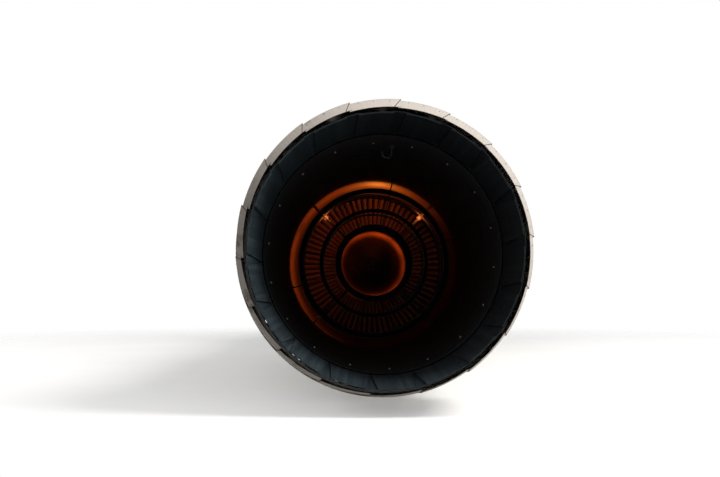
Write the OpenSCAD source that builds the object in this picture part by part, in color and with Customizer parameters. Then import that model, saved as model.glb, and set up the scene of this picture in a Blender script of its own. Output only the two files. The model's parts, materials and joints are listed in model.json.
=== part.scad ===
// Afterburning jet engine with a variable nozzle.
// The modules work in station space: local z is the distance behind the inlet flange face,
// local x is to the right and local y is up when looking at the nozzle from behind.
// The last step turns station space so that the engine points along +Y with +Z up.

/* [Inlet] */
// inner radius of the inlet wall
inlet_r = 442; // [400:1:480]
// length of the inlet case
inlet_len = 260; // [240:5:320]
// number of inlet struts
inlet_struts = 6; // [4:1:8]
// radius of the inlet hub
inlet_hub_r = 160; // [140:1:175]

/* [Front compressor] */
// length of the front compressor case
front_len = 820; // [780:5:880]
// wall radius at its rear joint
mid_r = 424; // [410:1:435]
// drum radius at the first stage
front_drum_r0 = 192; // [170:1:210]
// drum radius at the last stage
front_drum_r1 = 298; // [280:1:310]
// number of stages
front_stages = 4; // [3:1:4]
// blades on the first stage
front_blades = 24; // [18:1:28]
// vanes in each stator row
front_vanes = 30; // [20:1:36]

/* [Intermediate case] */
// length of the intermediate case
mid_len = 270; // [250:5:300]
// wall radius at its rear joint
core_r = 398; // [390:1:410]
// radius of the trunnion pins
trunnion_r = 25; // [20:1:30]
// distance from the axis to the pin ends
trunnion_reach = 530; // [510:1:560]

/* [Core compressor] */
// length of the core compressor case
core_len = 700; // [660:5:740]
// wall radius at its rear joint
diff_r = 384; // [376:1:392]
// number of stages
core_stages = 5; // [4:1:5]
// blades on each stage
core_blades = 36; // [30:1:40]
// drum radius at the first stage
core_drum_r0 = 308; // [300:1:315]
// drum radius at the last stage
core_drum_r1 = 336; // [325:1:340]

/* [Combustor] */
// length of the diffuser case
diff_len = 250; // [230:5:280]
// wall radius of the combustion case
comb_r = 456; // [450:1:462]
// length of the combustion case
comb_len = 700; // [660:5:740]
// number of burner cans
cans = 12; // [10:1:12]
// radius of one can
can_r = 62; // [56:1:66]
// distance of the can centres inside the wall
can_depth = 84; // [80:1:90]

/* [Turbines and exhaust] */
// length of the turbine case
turb_len = 660; // [650:5:700]
// wall radius at its rear joint
exh_r = 460; // [458:1:464]
// rim radius of the first turbine disc
core_rim_r = 330; // [310:1:340]
// rim radius of the last turbine disc
rear_rim_r = 238; // [228:1:250]
// blades on the last turbine disc
rear_blades = 72; // [60:1:80]
// length of the exhaust case
exh_len = 240; // [230:5:270]
// radius of the exhaust cone at its base
cone_r = 226; // [215:1:232]
// length of the exhaust cone
cone_len = 430; // [380:5:480]
// number of exhaust struts
exh_struts = 6; // [4:1:8]
// angle of the first exhaust strut
exh_strut_a = 47; // [0:1:60]

/* [Afterburner] */
// length of the afterburner diffuser
abd_len = 520; // [490:5:560]
// inner radius of the duct
duct_r = 506; // [504:1:510]
// length of the duct
duct_len = 1660; // [1560:10:1760]
// inner radius of the liner
liner_r = 488; // [484:1:490]
// distance of the gutter lips behind the front of the duct
flame_back = 230; // [200:5:260]
// mean radius of the outer gutter
gutter_r3 = 408; // [400:1:414]
// mean radius of the middle gutter
gutter_r2 = 295.5; // [290:0.5:300]
// mean radius of the inner gutter
gutter_r1 = 200.5; // [195:0.5:206]

/* [Nozzle] */
// distance of the leaf hinge pins behind the duct
pin_back = 88; // [84:1:92]
// radius of the circle of leaf hinge pins
pin_circle_r = 512; // [510:1:514]
// number of leaves
leaves = 18; // [18:1:18]
// angle of the first leaf
leaf_a = 94; // [90:1:99]
// length of a leaf behind its pin
leaf_len = 422; // [400:1:425]
// closing angle of a leaf
leaf_close = 13; // [10:0.5:13]
// half width of a leaf at its trailing edge
leaf_half_w = 67; // [62:0.5:68]
// travel of the unison ring
ring_travel = 100; // [90:1:100]
// distance of the open ring behind the hinge pins
ring_open = 150; // [148:1:152]
// trailing edge radius of the outer petals
petal_r = 549; // [545:1:555]
// sideways offset of the outer shroud
shroud_dx = -5; // [-6:1:6]
// upward offset of the outer shroud
shroud_dy = 12; // [0:1:12]
// number of nozzle actuators
actuators = 3; // [3:1:3]

/* [Walls and fasteners] */
// thickness of the case walls
wall = 4; // [3:0.5:5]
// thickness of one flange
flange_t = 10; // [8:1:12]
// height of a flange over the wall
flange_h = 26; // [24:1:30]
// bolts in each flange
flange_bolts_n = 24; // [16:1:30]
// radius of a bolt shank
bolt_r = 4; // [3:0.5:5]

/* [Clearances] */
// clearance round a bolt shank
bolt_gap = 0.4; // [0.3:0.1:0.6]
// gap between blade tips and the wall
tip_gap = 3; // [2.5:0.5:4]
// radial clearance of hinges, rods and bearings
run_gap = 0.8; // [0.7:0.1:1]

/* [Hidden] */
$fn = 96;
eps = 0.01;
pitch_a = 360 / leaves;
bolt_off = 14;
intake_off = bolt_off + 2;
bolt_head_r = 7.5;
bolt_head_h = 6;
hex = 6;
st_front = inlet_len;
st_mid = st_front + front_len;
st_core = st_mid + mid_len;
st_diff = st_core + core_len;
st_comb = st_diff + diff_len;
st_turb = st_comb + comb_len;
st_exh = st_turb + turb_len;
st_abd = st_exh + exh_len;
st_duct = st_abd + abd_len;
st_flame = st_duct + flame_back;
st_noz = st_duct + duct_len;
st_pin = st_noz + pin_back;
st_exit = st_pin + leaf_len;
can_circle_r = comb_r - can_depth;
inner_shaft_r = 60;
inner_shaft_bore = 45;
core_shaft_r = 92;
core_shaft_bore = 80;
bearing_r = 118;
bearing_w = 30;
web_t = 10;
drum_t = 8;
platform_t = 4;
seat_gap = 0.02;
st_front_bearing = st_front - 110;
st_core_bearing = st_core - 40;
st_core_rear_bearing = st_turb - 50;
st_rear_bearing = st_exh + 12;
inner_case_r = 150;

module station() { rotate([90, 0, 0]) children(); }

function mix(a, b, t) = a + (b - a) * t;

function wall_r(z) =
    z < st_front ? inlet_r :
    z < st_mid ? mix(inlet_r, mid_r, (z - st_front) / (st_mid - st_front)) :
    z < st_core ? mix(mid_r, core_r, (z - st_mid) / (st_core - st_mid)) :
    z < st_diff ? mix(core_r, diff_r, (z - st_core) / (st_diff - st_core)) :
    z < st_comb ? mix(diff_r, comb_r, (z - st_diff) / (st_comb - st_diff)) :
    z < st_turb ? comb_r :
    z < st_exh ? mix(comb_r, exh_r, (z - st_turb) / (st_exh - st_turb)) :
    z < st_abd ? exh_r :
    z < st_duct ? mix(exh_r, duct_r, (z - st_abd) / (st_duct - st_abd)) : duct_r;

module ring(r0, r1, z0, z1) {
    rotate_extrude() polygon([[r0, z0], [r1, z0], [r1, z1], [r0, z1]]);
}

module flange(z0, r) {
    ring(r, r + wall + flange_h, z0, z0 + flange_t);
}

module bolt_holes(z0, r, off = bolt_off) {
    for (i = [0:flange_bolts_n - 1])
        rotate([0, 0, (i + 0.5) * 360 / flange_bolts_n])
            translate([r + wall + off, 0, z0 - eps])
                cylinder(r = bolt_r + bolt_gap, h = flange_t + 2 * eps, $fn = 24);
}

module shell(z0, r0, z1, r1) {
    rotate_extrude() polygon([[r0, z0], [r0 + wall, z0], [r1 + wall, z1], [r1, z1]]);
}

// stiffening band round the wall at station z
module band(z, h, w = 8) {
    rotate_extrude() polygon([
        [wall_r(z) + wall / 2, z], [wall_r(z) + wall + h, z],
        [wall_r(z) + wall + h, z + w], [wall_r(z + w) + wall / 2, z + w]]);
}

module case(z0, r0, z1, r1, off0 = bolt_off) {
    difference() {
        union() {
            shell(z0, r0, z1, r1);
            flange(z0, r0);
            flange(z1 - flange_t, r1);
            children();
        }
        bolt_holes(z0, r0, off0);
        bolt_holes(z1 - flange_t, r1);
    }
}

function foil(c, t, m) = [
    [-c / 2, 0], [-c * 0.22, m + t * 0.5], [c * 0.22, 0.8 * m + t * 0.35],
    [c / 2, 0], [c * 0.22, 0.8 * m - t * 0.35], [-c * 0.22, m - t * 0.5]];

// one row of blades, each a straight airfoil standing on the radius r0
module row(n, z, r0, r1, c, t, m, stagger, turn = 0) {
    for (i = [0:n - 1])
        rotate([0, 0, i * 360 / n + turn])
            translate([r0, 0, z])
                rotate([0, 90, 0])
                    rotate([0, 0, stagger])
                        linear_extrude(height = r1 - r0)
                            polygon(foil(c, t, m));
}

// one ring of vanes between an inner ring and a platform that seats against the wall
module vane_ring(n, z, r0, half, c, t, m, stagger) {
    rotate_extrude() polygon([
        [wall_r(z - half) - platform_t, z - half], [wall_r(z - half) - seat_gap, z - half],
        [wall_r(z + half) - seat_gap, z + half], [wall_r(z + half) - platform_t, z + half]]);
    row(n, z, r0 + 1, wall_r(z) - platform_t / 2, c, t, m, stagger);
    ring(r0, r0 + platform_t, z - half, z + half);
}

module bearing(z, r0, r1) {
    difference() {
        ring(r0 + run_gap, r1, z, z + bearing_w);
        ring(r0 + (r1 - r0) * 0.4, r0 + (r1 - r0) * 0.6, z - eps, z + bearing_w * 0.22);
        ring(r0 + (r1 - r0) * 0.4, r0 + (r1 - r0) * 0.6, z + bearing_w * 0.78, z + bearing_w + eps);
    }
}

// front section

strut_c = 150;
strut_t = 22;
inlet_strut_z = st_front - 110;
hub_z0 = 40;
hub_z1 = st_front - 20;

module inlet_case() {
    color("silver") station() case(0, inlet_r, st_front, inlet_r, intake_off) {
        row(inlet_struts, inlet_strut_z, inlet_hub_r - wall, inlet_r + wall / 2,
            strut_c, strut_t, 0, 0, 30);
        ring(inlet_hub_r - wall, inlet_hub_r, hub_z0, hub_z1);
        ring(bearing_r, inlet_hub_r - wall / 2, st_front_bearing - web_t, st_front_bearing + bearing_w);
        ring(inlet_hub_r - 3 * wall, inlet_hub_r, hub_z0, hub_z0 + flange_t);
        bearing(st_front_bearing, inner_shaft_r, bearing_r + 1);
    }
}

// half of a round cap, open towards the hub
module nose_dome(r, z) {
    translate([0, 0, z]) rotate_extrude() intersection() {
        circle(r = r);
        translate([0, -r]) square([r, r]);
    }
}

module nose_cone() {
    color("silver") station() difference() {
        nose_dome(inlet_hub_r, hub_z0);
        nose_dome(inlet_hub_r - wall, hub_z0 + eps);
    }
}

front_z0 = st_front + 70;
front_pitch = (st_mid - front_z0) / front_stages;
function front_z(k) = front_z0 + k * front_pitch;
function front_drum(z) =
    mix(front_drum_r0, front_drum_r1, (z - front_z0) / (front_z(front_stages - 1) - front_z0));
front_drum_z0 = front_z0 - 42;
front_drum_z1 = front_z(front_stages - 1) + 44;
front_chord = 86;
front_vane_chord = 62;

module front_compressor_rotor() {
    color("gray") station() union() {
        rotate_extrude() polygon([
            [front_drum(front_drum_z0) - drum_t, front_drum_z0], [front_drum(front_drum_z0), front_drum_z0],
            [front_drum(front_drum_z1), front_drum_z1],
            [front_drum(front_drum_z1) - drum_t, front_drum_z1]]);
        for (k = [0:front_stages - 1])
            row(front_blades + 4 * k, front_z(k), front_drum(front_z(k)) - drum_t / 2,
                wall_r(front_z(k) + front_chord / 2) - tip_gap, front_chord - 4 * k, 7, 7, 38);
        for (k = [0:front_stages - 1])
            ring(k == 0 || k == front_stages - 1 ? inner_shaft_r : 120,
                front_drum(front_z(k)) - drum_t / 2, front_z(k) - web_t / 2, front_z(k) + web_t / 2);
        ring(inner_shaft_r, inner_shaft_r + 16, front_z(0) - 30, front_z(0) + 30);
        ring(inner_shaft_r, inner_shaft_r + 16, front_z(front_stages - 1) - 30,
            front_z(front_stages - 1) + 30);
    }
}

module inner_shaft() {
    color("silver") station() difference() {
        union() {
            ring(0, inner_shaft_r, st_front_bearing - 30, st_rear_bearing + bearing_w + 10);
            ring(0, inner_shaft_r + 14, st_front + 10, front_z(0) - 30);
            ring(0, inner_shaft_r + 14, rear_turbine_z(1) + 40, st_rear_bearing - 12);
        }
        ring(0, inner_shaft_bore, st_front_bearing - 40, st_rear_bearing + bearing_w + 20);
    }
}

module front_compressor_case() {
    color("silver") station() case(st_front, inlet_r, st_mid, mid_r) {
        for (z = [tank_z0, tank_z1 - band_w])
            band(z, band_r - wall_r(z) - wall, band_w);
        for (k = [1:front_stages - 1])
            band(front_z(k) - 4, 10);
    }
}

module front_stator_vanes() {
    color("gray") station() for (k = [0:front_stages - 1])
        vane_ring(front_vanes + 4 * k, front_z(k) + front_pitch / 2,
            front_drum(front_z(k) + front_pitch / 2 + 30) + tip_gap, 30, front_vane_chord, 6, -6, -28);
}

// intermediate case, drives and accessories

drive_z = st_mid + 145;
drive_shaft_r = 15;
drive_bore_r = 19;
pad_y = -mid_r - 38;
pad_w = 110;
pad_z0 = drive_z - 85;
pad_z1 = drive_z + 85;
hub_r0 = front_drum_r1 + 4;
hub_r1 = core_drum_r0 - 2;

module intermediate_case() {
    color("silver") station() difference() {
        case(st_mid, mid_r, st_core, core_r) {
            shell(st_mid + 8, hub_r0 - wall, st_core - 6, hub_r1 - wall);
            row(8, drive_z, hub_r0 - wall, wall_r(drive_z) + wall / 2, 150, 24, 0, 0, 0);
            rotate([0, 0, -90])
                row(1, drive_z, hub_r0 - wall, wall_r(drive_z) + wall / 2, 190, 54, 0, 0, 0);
            rotate_extrude() polygon([
                [core_shaft_r + run_gap, st_core_bearing], [bearing_r + 14, st_core_bearing],
                [hub_r1 - 2, st_core_bearing - 26], [hub_r1 - 2, st_core_bearing - 10],
                [bearing_r + 14, st_core_bearing + bearing_w],
                [core_shaft_r + run_gap, st_core_bearing + bearing_w]]);
            difference() {
                translate([-pad_w, pad_y, pad_z0])
                    cube([2 * pad_w, -pad_y - wall_r(drive_z) + 30, pad_z1 - pad_z0]);
                ring(0, min(wall_r(pad_z0), wall_r(pad_z1)) + wall / 2, pad_z0 - 1, pad_z1 + 1);
            }
            for (s = [0, 180])
                rotate([0, 0, s])
                    translate([wall_r(drive_z) - 4, 0, drive_z])
                        rotate([0, 90, 0]) {
                            cylinder(r = 2.2 * trunnion_r, h = trunnion_reach - 56 - wall_r(drive_z));
                            cylinder(r = trunnion_r, h = trunnion_reach + 4 - wall_r(drive_z));
                        }
        }
        translate([0, 0, drive_z]) rotate([90, 0, 0]) cylinder(r = drive_shaft_r + run_gap, h = 600);
    }
}

// the bevel pair has its pitch cones through the point where the two axes cross
bevel_slope = 0.5;
bevel_in = 106;
bevel_out = 134;
bevel_gap = 0.8;
foot_r = 34;
foot_z = 38 - pad_y;
foot_t = 20;

module radial_drive_shaft() {
    color("silver") station() translate([0, 0, drive_z]) rotate([90, 0, 0]) rotate_extrude() polygon([
        [0, bevel_in + 4], [drive_shaft_r + 6, bevel_in + 4],
        [bevel_in * bevel_slope - bevel_gap, bevel_in], [bevel_out * bevel_slope - bevel_gap, bevel_out],
        [drive_shaft_r, bevel_out + 14], [drive_shaft_r, foot_z], [foot_r, foot_z],
        [foot_r, foot_z + foot_t], [0, foot_z + foot_t]]);
}

gb_top = pad_y;
gb_h = 116;
gb_w = 210;
gb_z0 = drive_z - 95;
gb_z1 = drive_z + 95;
gb_wall = 8;
gb_flange = 14;
acc_y = pad_y - 62;
starter_x = -105;
pump_x = 105;

module gearbox() {
    color("silver") station() difference() {
        union() {
            translate([-gb_w + 40, gb_top - gb_h, gb_z0]) cube([2 * gb_w - 80, gb_h, gb_z1 - gb_z0]);
            for (x = [-gb_w + 40, gb_w - 40])
                translate([x, gb_top - gb_h / 2, gb_z0]) cylinder(r = gb_h / 2, h = gb_z1 - gb_z0);
            translate([-gb_w, gb_top - gb_h / 2 - 6, gb_z0 + 70]) cube([2 * gb_w, 12, 50]);
            translate([-gb_w + 40, gb_top - gb_h - 6, (gb_z0 + gb_z1) / 2 - 7])
                cube([2 * gb_w - 80, 20, 14]);
            for (x = [starter_x, pump_x])
                translate([x, acc_y, gb_z0 - gb_flange])
                    cylinder(r = 48, h = gb_z1 - gb_z0 + 2 * gb_flange);
        }
        translate([-gb_w + 40, gb_top - gb_h + gb_wall, gb_z0 + gb_wall])
            cube([2 * gb_w - 80, gb_h - 2 * gb_wall, gb_z1 - gb_z0 - 2 * gb_wall]);
        translate([0, 0, drive_z]) rotate([90, 0, 0]) cylinder(r = drive_bore_r, h = -gb_top + gb_wall + 1);
    }
}

module starter() {
    color("gray") station() translate([starter_x, acc_y, 0]) {
        ring(0, 52, gb_z0 - gb_flange - 14, gb_z0 - gb_flange);
        ring(0, 46, gb_z0 - gb_flange - 150, gb_z0 - gb_flange - 14);
        ring(0, 52, gb_z0 - gb_flange - 96, gb_z0 - gb_flange - 84);
        translate([0, 0, gb_z0 - gb_flange - 150]) sphere(r = 46);
        translate([0, -40, gb_z0 - gb_flange - 120]) rotate([90, 0, 0]) cylinder(r = 16, h = 34);
    }
}

pump_z0 = gb_z1 + gb_flange;
module fuel_pump() {
    color("gray") station() translate([pump_x, acc_y, 0]) {
        ring(0, 52, pump_z0, pump_z0 + 14);
        ring(0, 40, pump_z0 + 14, pump_z0 + 150);
        ring(0, 48, pump_z0 + 70, pump_z0 + 84);
        translate([-36, -30, pump_z0 + 84]) cube([72, 60, 90]);
        translate([0, 0, pump_z0 + 174]) ring(0, 16, -1, 16);
    }
}

module oil_pump() {
    color("gray") station() translate([starter_x, acc_y, 0]) {
        ring(0, 46, pump_z0, pump_z0 + 12);
        ring(0, 34, pump_z0 + 12, pump_z0 + 110);
        translate([-20, -44, pump_z0 + 40]) cube([40, 30, 56]);
    }
}

tank_z0 = st_front + 180;
tank_z1 = st_front + 620;
band_r = inlet_r + 20;
band_w = 24;
tank_t = 78;
tank_span = 56;
tank_a = 165;

module oil_tank() {
    color("silver") station() rotate([0, 0, tank_a]) difference() {
        union() {
            rotate([0, 0, -tank_span / 2])
                rotate_extrude(angle = tank_span) polygon([
                    [band_r, tank_z0], [band_r + tank_t - 14, tank_z0], [band_r + tank_t, tank_z0 + 14],
                    [band_r + tank_t, tank_z1 - 14], [band_r + tank_t - 14, tank_z1], [band_r, tank_z1]]);
            translate([band_r + tank_t - 6, 0, tank_z0 + 90]) rotate([0, 90, 0]) cylinder(r = 30, h = 26);
            translate([band_r + tank_t - 6, 0, tank_z0 + 90]) rotate([0, 90, 0]) cylinder(r = 36, h = 12);
        }
        rotate([0, 0, -tank_span / 2 + 1])
            rotate_extrude(angle = tank_span - 2)
                polygon([
                    [band_r + 5, tank_z0 + 5], [band_r + tank_t - 18, tank_z0 + 5],
                    [band_r + tank_t - 5, tank_z0 + 18], [band_r + tank_t - 5, tank_z1 - 18],
                    [band_r + tank_t - 18, tank_z1 - 5], [band_r + 5, tank_z1 - 5]]);
    }
}

// core compressor

core_z0 = st_core + 60;
core_pitch = (st_diff - 10 - core_z0) / core_stages;
function core_z(k) = core_z0 + k * core_pitch;
function core_drum(z) = mix(core_drum_r0, core_drum_r1, (z - core_z0) / (core_z(core_stages - 1) - core_z0));
bleed_z = st_core + 340;
core_drum_z0 = core_z0 - 36;
core_drum_z1 = core_z(core_stages - 1) + 34;

module core_compressor_rotor() {
    color("gray") station() union() {
        rotate_extrude() polygon([
            [core_drum(core_drum_z0) - drum_t, core_drum_z0], [core_drum(core_drum_z0), core_drum_z0],
            [core_drum(core_drum_z1), core_drum_z1], [core_drum(core_drum_z1) - drum_t, core_drum_z1]]);
        for (k = [0:core_stages - 1])
            row(core_blades, core_z(k), core_drum(core_z(k)) - drum_t / 2,
                wall_r(core_z(k) + 20) - tip_gap, 52, 5, 5, 42, k * 3);
        for (k = [0:core_stages - 1])
            ring(k == 0 || k == core_stages - 1 ? core_shaft_r : 150,
                core_drum(core_z(k)) - drum_t / 2, core_z(k) - web_t / 2, core_z(k) + web_t / 2);
        ring(core_shaft_r, core_shaft_r + 14, core_z(0) - 24, core_z(0) + 24);
        ring(core_shaft_r, core_shaft_r + 14, core_z(core_stages - 1) - 24, core_z(core_stages - 1) + 24);
    }
}

module core_compressor_case() {
    color("silver") station() case(st_core, core_r, st_diff, diff_r) {
        for (k = [0:core_stages - 2])
            row(core_blades, core_z(k) + core_pitch / 2,
                core_drum(core_z(k) + core_pitch / 2 + 18) + tip_gap + 1,
                wall_r(core_z(k) + core_pitch / 2) + wall / 2, 46, 5, -5, -34);
        for (k = [1, 3])
            band(core_z(k) + 6, 12, 10);
        for (a = [35, 145])
            rotate([0, 0, a]) translate([wall_r(bleed_z) + 1, 0, bleed_z]) rotate([0, 90, 0]) difference() {
                union() {
                    cylinder(r = 44, h = 40);
                    translate([0, 0, 30]) cylinder(r = 60, h = 10);
                }
                translate([0, 0, 4]) cylinder(r = 38, h = 50);
            }
    }
}

// diffuser, combustor

noz_z = st_comb - 60;
boss_top = comb_r + 18;
boss_r = 22;
stem_bore = 12;
stem_r = 9;
stem_in = can_circle_r;
flange2_t = 9;

module diffuser_case() {
    color("silver") station() difference() {
        case(st_diff, diff_r, st_comb, comb_r) {
            rotate_extrude() polygon([
                [core_drum_r1 + 6, st_diff + 6], [core_drum_r1 + 10, st_diff + 6],
                [inner_case_r + 40, st_comb - 12],
                [inner_case_r + 40, st_comb], [inner_case_r, st_comb], [inner_case_r, st_comb - 10],
                [inner_case_r + 34, st_comb - 12]]);
            row(cans, st_diff + 60, core_drum_r1 - 36, wall_r(st_diff + 60) + wall / 2, 84, 10, 0, 0, 15);
            for (i = [0:cans - 1])
                rotate([0, 0, i * 360 / cans]) translate([wall_r(noz_z) - 8, 0, noz_z])
                    rotate([0, 90, 0]) cylinder(r = boss_r, h = boss_top - wall_r(noz_z) + 8);
        }
        for (i = [0:cans - 1])
            rotate([0, 0, i * 360 / cans]) translate([wall_r(noz_z) - 30, 0, noz_z])
                rotate([0, 90, 0]) cylinder(r = stem_bore, h = 100);
        ring(wall_r(noz_z) - 80, wall_r(noz_z - boss_r), noz_z - boss_r - 1, noz_z - boss_r / 2);
    }
}

manifold_r = boss_top + flange2_t + 24;

module fuel_manifold() {
    color("silver") station() union() {
        translate([0, 0, noz_z]) rotate_extrude() translate([manifold_r, 0]) circle(r = 8);
        for (i = [0:cans - 1])
            rotate([0, 0, i * 360 / cans]) {
                translate([stem_in, 0, noz_z]) rotate([0, 90, 0])
                    cylinder(r = stem_r, h = manifold_r - stem_in);
                translate([boss_top, 0, noz_z]) rotate([0, 90, 0]) cylinder(r = boss_r, h = flange2_t);
                translate([stem_in, 0, noz_z - stem_r - 3]) cylinder(r = stem_r + 2, h = stem_r + 16);
                translate([stem_in, 0, noz_z]) cylinder(r = stem_r - 1, h = 92);
            }
        pipe([[manifold_r * cos(-75), manifold_r * sin(-75), noz_z],
            [manifold_r * cos(-75), acc_y, noz_z - 60], [pump_x, acc_y, noz_z - 160],
            [pump_x, acc_y, pump_z0 + 190]], 9);
    }
}

joint_swell = 1.18;

// straight runs joined by swept elbows, drawn as slightly larger balls
module pipe(p, r) {
    for (i = [0:len(p) - 2]) {
        d = p[i + 1] - p[i];
        l = norm(d);
        translate(p[i])
            rotate([0, acos(d[2] / l), atan2(d[1], d[0])])
                cylinder(r = r, h = l, $fn = 32);
        translate(p[i]) sphere(r = r * joint_swell, $fn = 32);
    }
}

module combustion_case() {
    color("silver") station() case(st_comb, comb_r, st_turb, comb_r) {
        for (z = [st_comb + 180, st_comb + 400])
            band(z, 9);
        for (a = [-52, 232])
            rotate([0, 0, a]) translate([comb_r + wall / 2, 0, st_comb + 80]) rotate([0, 90, 0])
                cylinder(r = 18, h = 26);
    }
}

tube_half = can_circle_r * sin(180 / cans) - sqrt(can_r * can_r - 12 * 12) + 1.5;

module combustor_cans() {
    z0 = st_comb + 40;
    z1 = st_turb - 60;
    color("gray") station() difference() {
        union() {
            for (i = [0:cans - 1])
                rotate([0, 0, i * 360 / cans]) translate([can_circle_r, 0, 0]) {
                    ring(can_r - 2, can_r, z0, z1);
                    ring(stem_r + 3, can_r, z0 - 3, z0);
                    ring(stem_r + 3, stem_r + 14, z0 - 3, z0 + 10);
                }
            for (i = [0:cans - 1])
                rotate([0, 0, (i + 0.5) * 360 / cans])
                    translate([can_circle_r * cos(180 / cans), -tube_half, st_comb + 180])
                        rotate([-90, 0, 0]) cylinder(r = 12, h = 2 * tube_half);
            ring(can_circle_r - can_r - 4, can_circle_r + can_r + 4, z1, z1 + 3);
            ring(can_circle_r + can_r + 1, can_circle_r + can_r + 4, z1, st_turb - 2);
            ring(can_circle_r - can_r - 4, can_circle_r - can_r - 1, z1, st_turb - 8);
        }
        for (i = [0:cans - 1])
            rotate([0, 0, i * 360 / cans]) translate([can_circle_r, 0, 0]) {
                ring(0, can_r - 2, z1 - 1, z1 + 4);
                for (z = [st_comb + 360], s = [0, 60, 120])
                    rotate([0, 0, s]) translate([-can_r - 5, 0, z])
                        rotate([0, 90, 0]) cylinder(r = 9, h = 2 * can_r + 10, $fn = 24);
            }
    }
}

ngv_r = comb_r - 140;
module inner_case() {
    color("silver") station() union() {
        ring(inner_case_r, inner_case_r + wall, st_comb, st_turb - 60);
        ring(inner_case_r, inner_case_r + 40, st_comb, st_comb + 8);
        rotate_extrude() polygon([
            [inner_case_r, st_turb - 64], [inner_case_r + wall, st_turb - 64],
            [ngv_r - 26, st_turb - 8], [ngv_r, st_turb - 8], [ngv_r, st_turb],
            [ngv_r - 30, st_turb]]);
        ring(bearing_r, inner_case_r + 2, st_core_rear_bearing - web_t, st_core_rear_bearing + bearing_w);
        bearing(st_core_rear_bearing, core_shaft_r, bearing_r + 1);
    }
}

// turbines

core_turbine_z = st_turb + 125;
function rear_turbine_z(k) = st_turb + 340 + 240 * k;
function rear_rim(k) = mix(ngv_r - 24, rear_rim_r, k);

module turbine_case() {
    color("silver") station() case(st_turb, comb_r, st_exh, exh_r) {
        for (z = [st_turb + 180, st_turb + 420])
            band(z, 12, 9);
    }
}

module turbine_vanes() {
    color("gray") station() {
        union() {
            vane_ring(30, st_turb + 38, ngv_r, 25, 50, 9, -9, -36);
            ring(ngv_r - 8, ngv_r + platform_t, st_turb, st_turb + 16);
        }
        vane_ring(32, st_turb + 240, ngv_r - 16, 28, 52, 9, -9, -36);
        vane_ring(36, st_turb + 470, ngv_r - 54, 28, 52, 9, -9, -36);
    }
}

module core_turbine_rotor() {
    color("gray") station() union() {
        ring(core_shaft_bore, core_shaft_r, drive_z + 62, core_turbine_z + 30);
        ring(core_shaft_bore, core_shaft_r + 20, core_turbine_z - 30, core_turbine_z + 30);
        ring(core_shaft_r - 2, core_rim_r - 10, core_turbine_z - 9, core_turbine_z + 9);
        ring(core_rim_r - 14, core_rim_r, core_turbine_z - 26, core_turbine_z + 26);
        row(54, core_turbine_z, core_rim_r - 2, wall_r(core_turbine_z - 20) - tip_gap, 46, 9, 8, 30);
        rotate_extrude() polygon([
            [core_shaft_bore, drive_z + 62], [bevel_in, drive_z + bevel_in * bevel_slope + 1],
            [bevel_out, drive_z + bevel_out * bevel_slope + 1],
            [bevel_out, drive_z + bevel_out * bevel_slope + 5], [core_shaft_bore, drive_z + 80]]);
    }
}

module rear_turbine_rotor() {
    color("gray") station() union() {
        for (k = [0, 1]) {
            ring(inner_shaft_r, rear_rim(k) - 10, rear_turbine_z(k) - 9, rear_turbine_z(k) + 9);
            ring(inner_shaft_r, inner_shaft_r + 24, rear_turbine_z(k) - 26, rear_turbine_z(k) + 26);
            ring(rear_rim(k) - 14, rear_rim(k), rear_turbine_z(k) - 26, rear_turbine_z(k) + 26);
            row(k == 0 ? 60 : rear_blades, rear_turbine_z(k), rear_rim(k) - 2,
                wall_r(rear_turbine_z(k) - 20) - tip_gap, 46, 8, 7, 34);
        }
        shell_between(rear_turbine_z(0) + 5, inner_shaft_r + 120,
            rear_turbine_z(1) - 5, inner_shaft_r + 100);
    }
}

module shell_between(z0, r0, z1, r1) {
    rotate_extrude() polygon([[r0, z0], [r0 + wall * 1.5, z0], [r1 + wall * 1.5, z1], [r1, z1]]);
}

// exhaust

module exhaust_case() {
    color("silver") station() case(st_exh, exh_r, st_abd, exh_r) {
        ring(cone_r - wall, cone_r, st_exh + 6, st_abd - 20);
        ring(cone_r - 24, cone_r, st_abd - 28, st_abd - 20);
        ring(bearing_r - 24, cone_r - wall / 2, st_rear_bearing + 6, st_rear_bearing + 16);
        ring(bearing_r - 24, bearing_r - 8, st_rear_bearing, st_rear_bearing + bearing_w);
        bearing(st_rear_bearing, inner_shaft_r, bearing_r - 23);
        row(exh_struts, (st_exh + st_abd) / 2, cone_r - wall / 2, exh_r + wall / 2,
            150, 13, 0, 0, exh_strut_a);
    }
}

module exhaust_cone() {
    color("gray") station() rotate_extrude() union() {
        difference() {
            polygon([
                [0, st_abd - 20], [cone_r, st_abd - 20], [cone_r * 0.9, st_abd + cone_len * 0.24],
                [cone_r * 0.72, st_abd + cone_len * 0.48], [cone_r * 0.47, st_abd + cone_len * 0.74],
                [cone_r * 0.2, st_abd + cone_len * 0.94], [0, st_abd + cone_len]]);
            polygon([
                [-1, st_abd - 21], [cone_r - wall, st_abd - 21],
                [cone_r * 0.9 - wall, st_abd + cone_len * 0.24 - 1],
                [cone_r * 0.72 - wall, st_abd + cone_len * 0.48 - 2],
                [cone_r * 0.47 - wall, st_abd + cone_len * 0.74 - 2],
                [cone_r * 0.2 - wall, st_abd + cone_len * 0.94 - 3], [-1, st_abd + cone_len - 6]]);
        }
    }
}

// afterburner

spray_z = st_duct - 90;
feed_r = 7;
feed_bore = 9;
feed_top = duct_r + 16;

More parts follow.
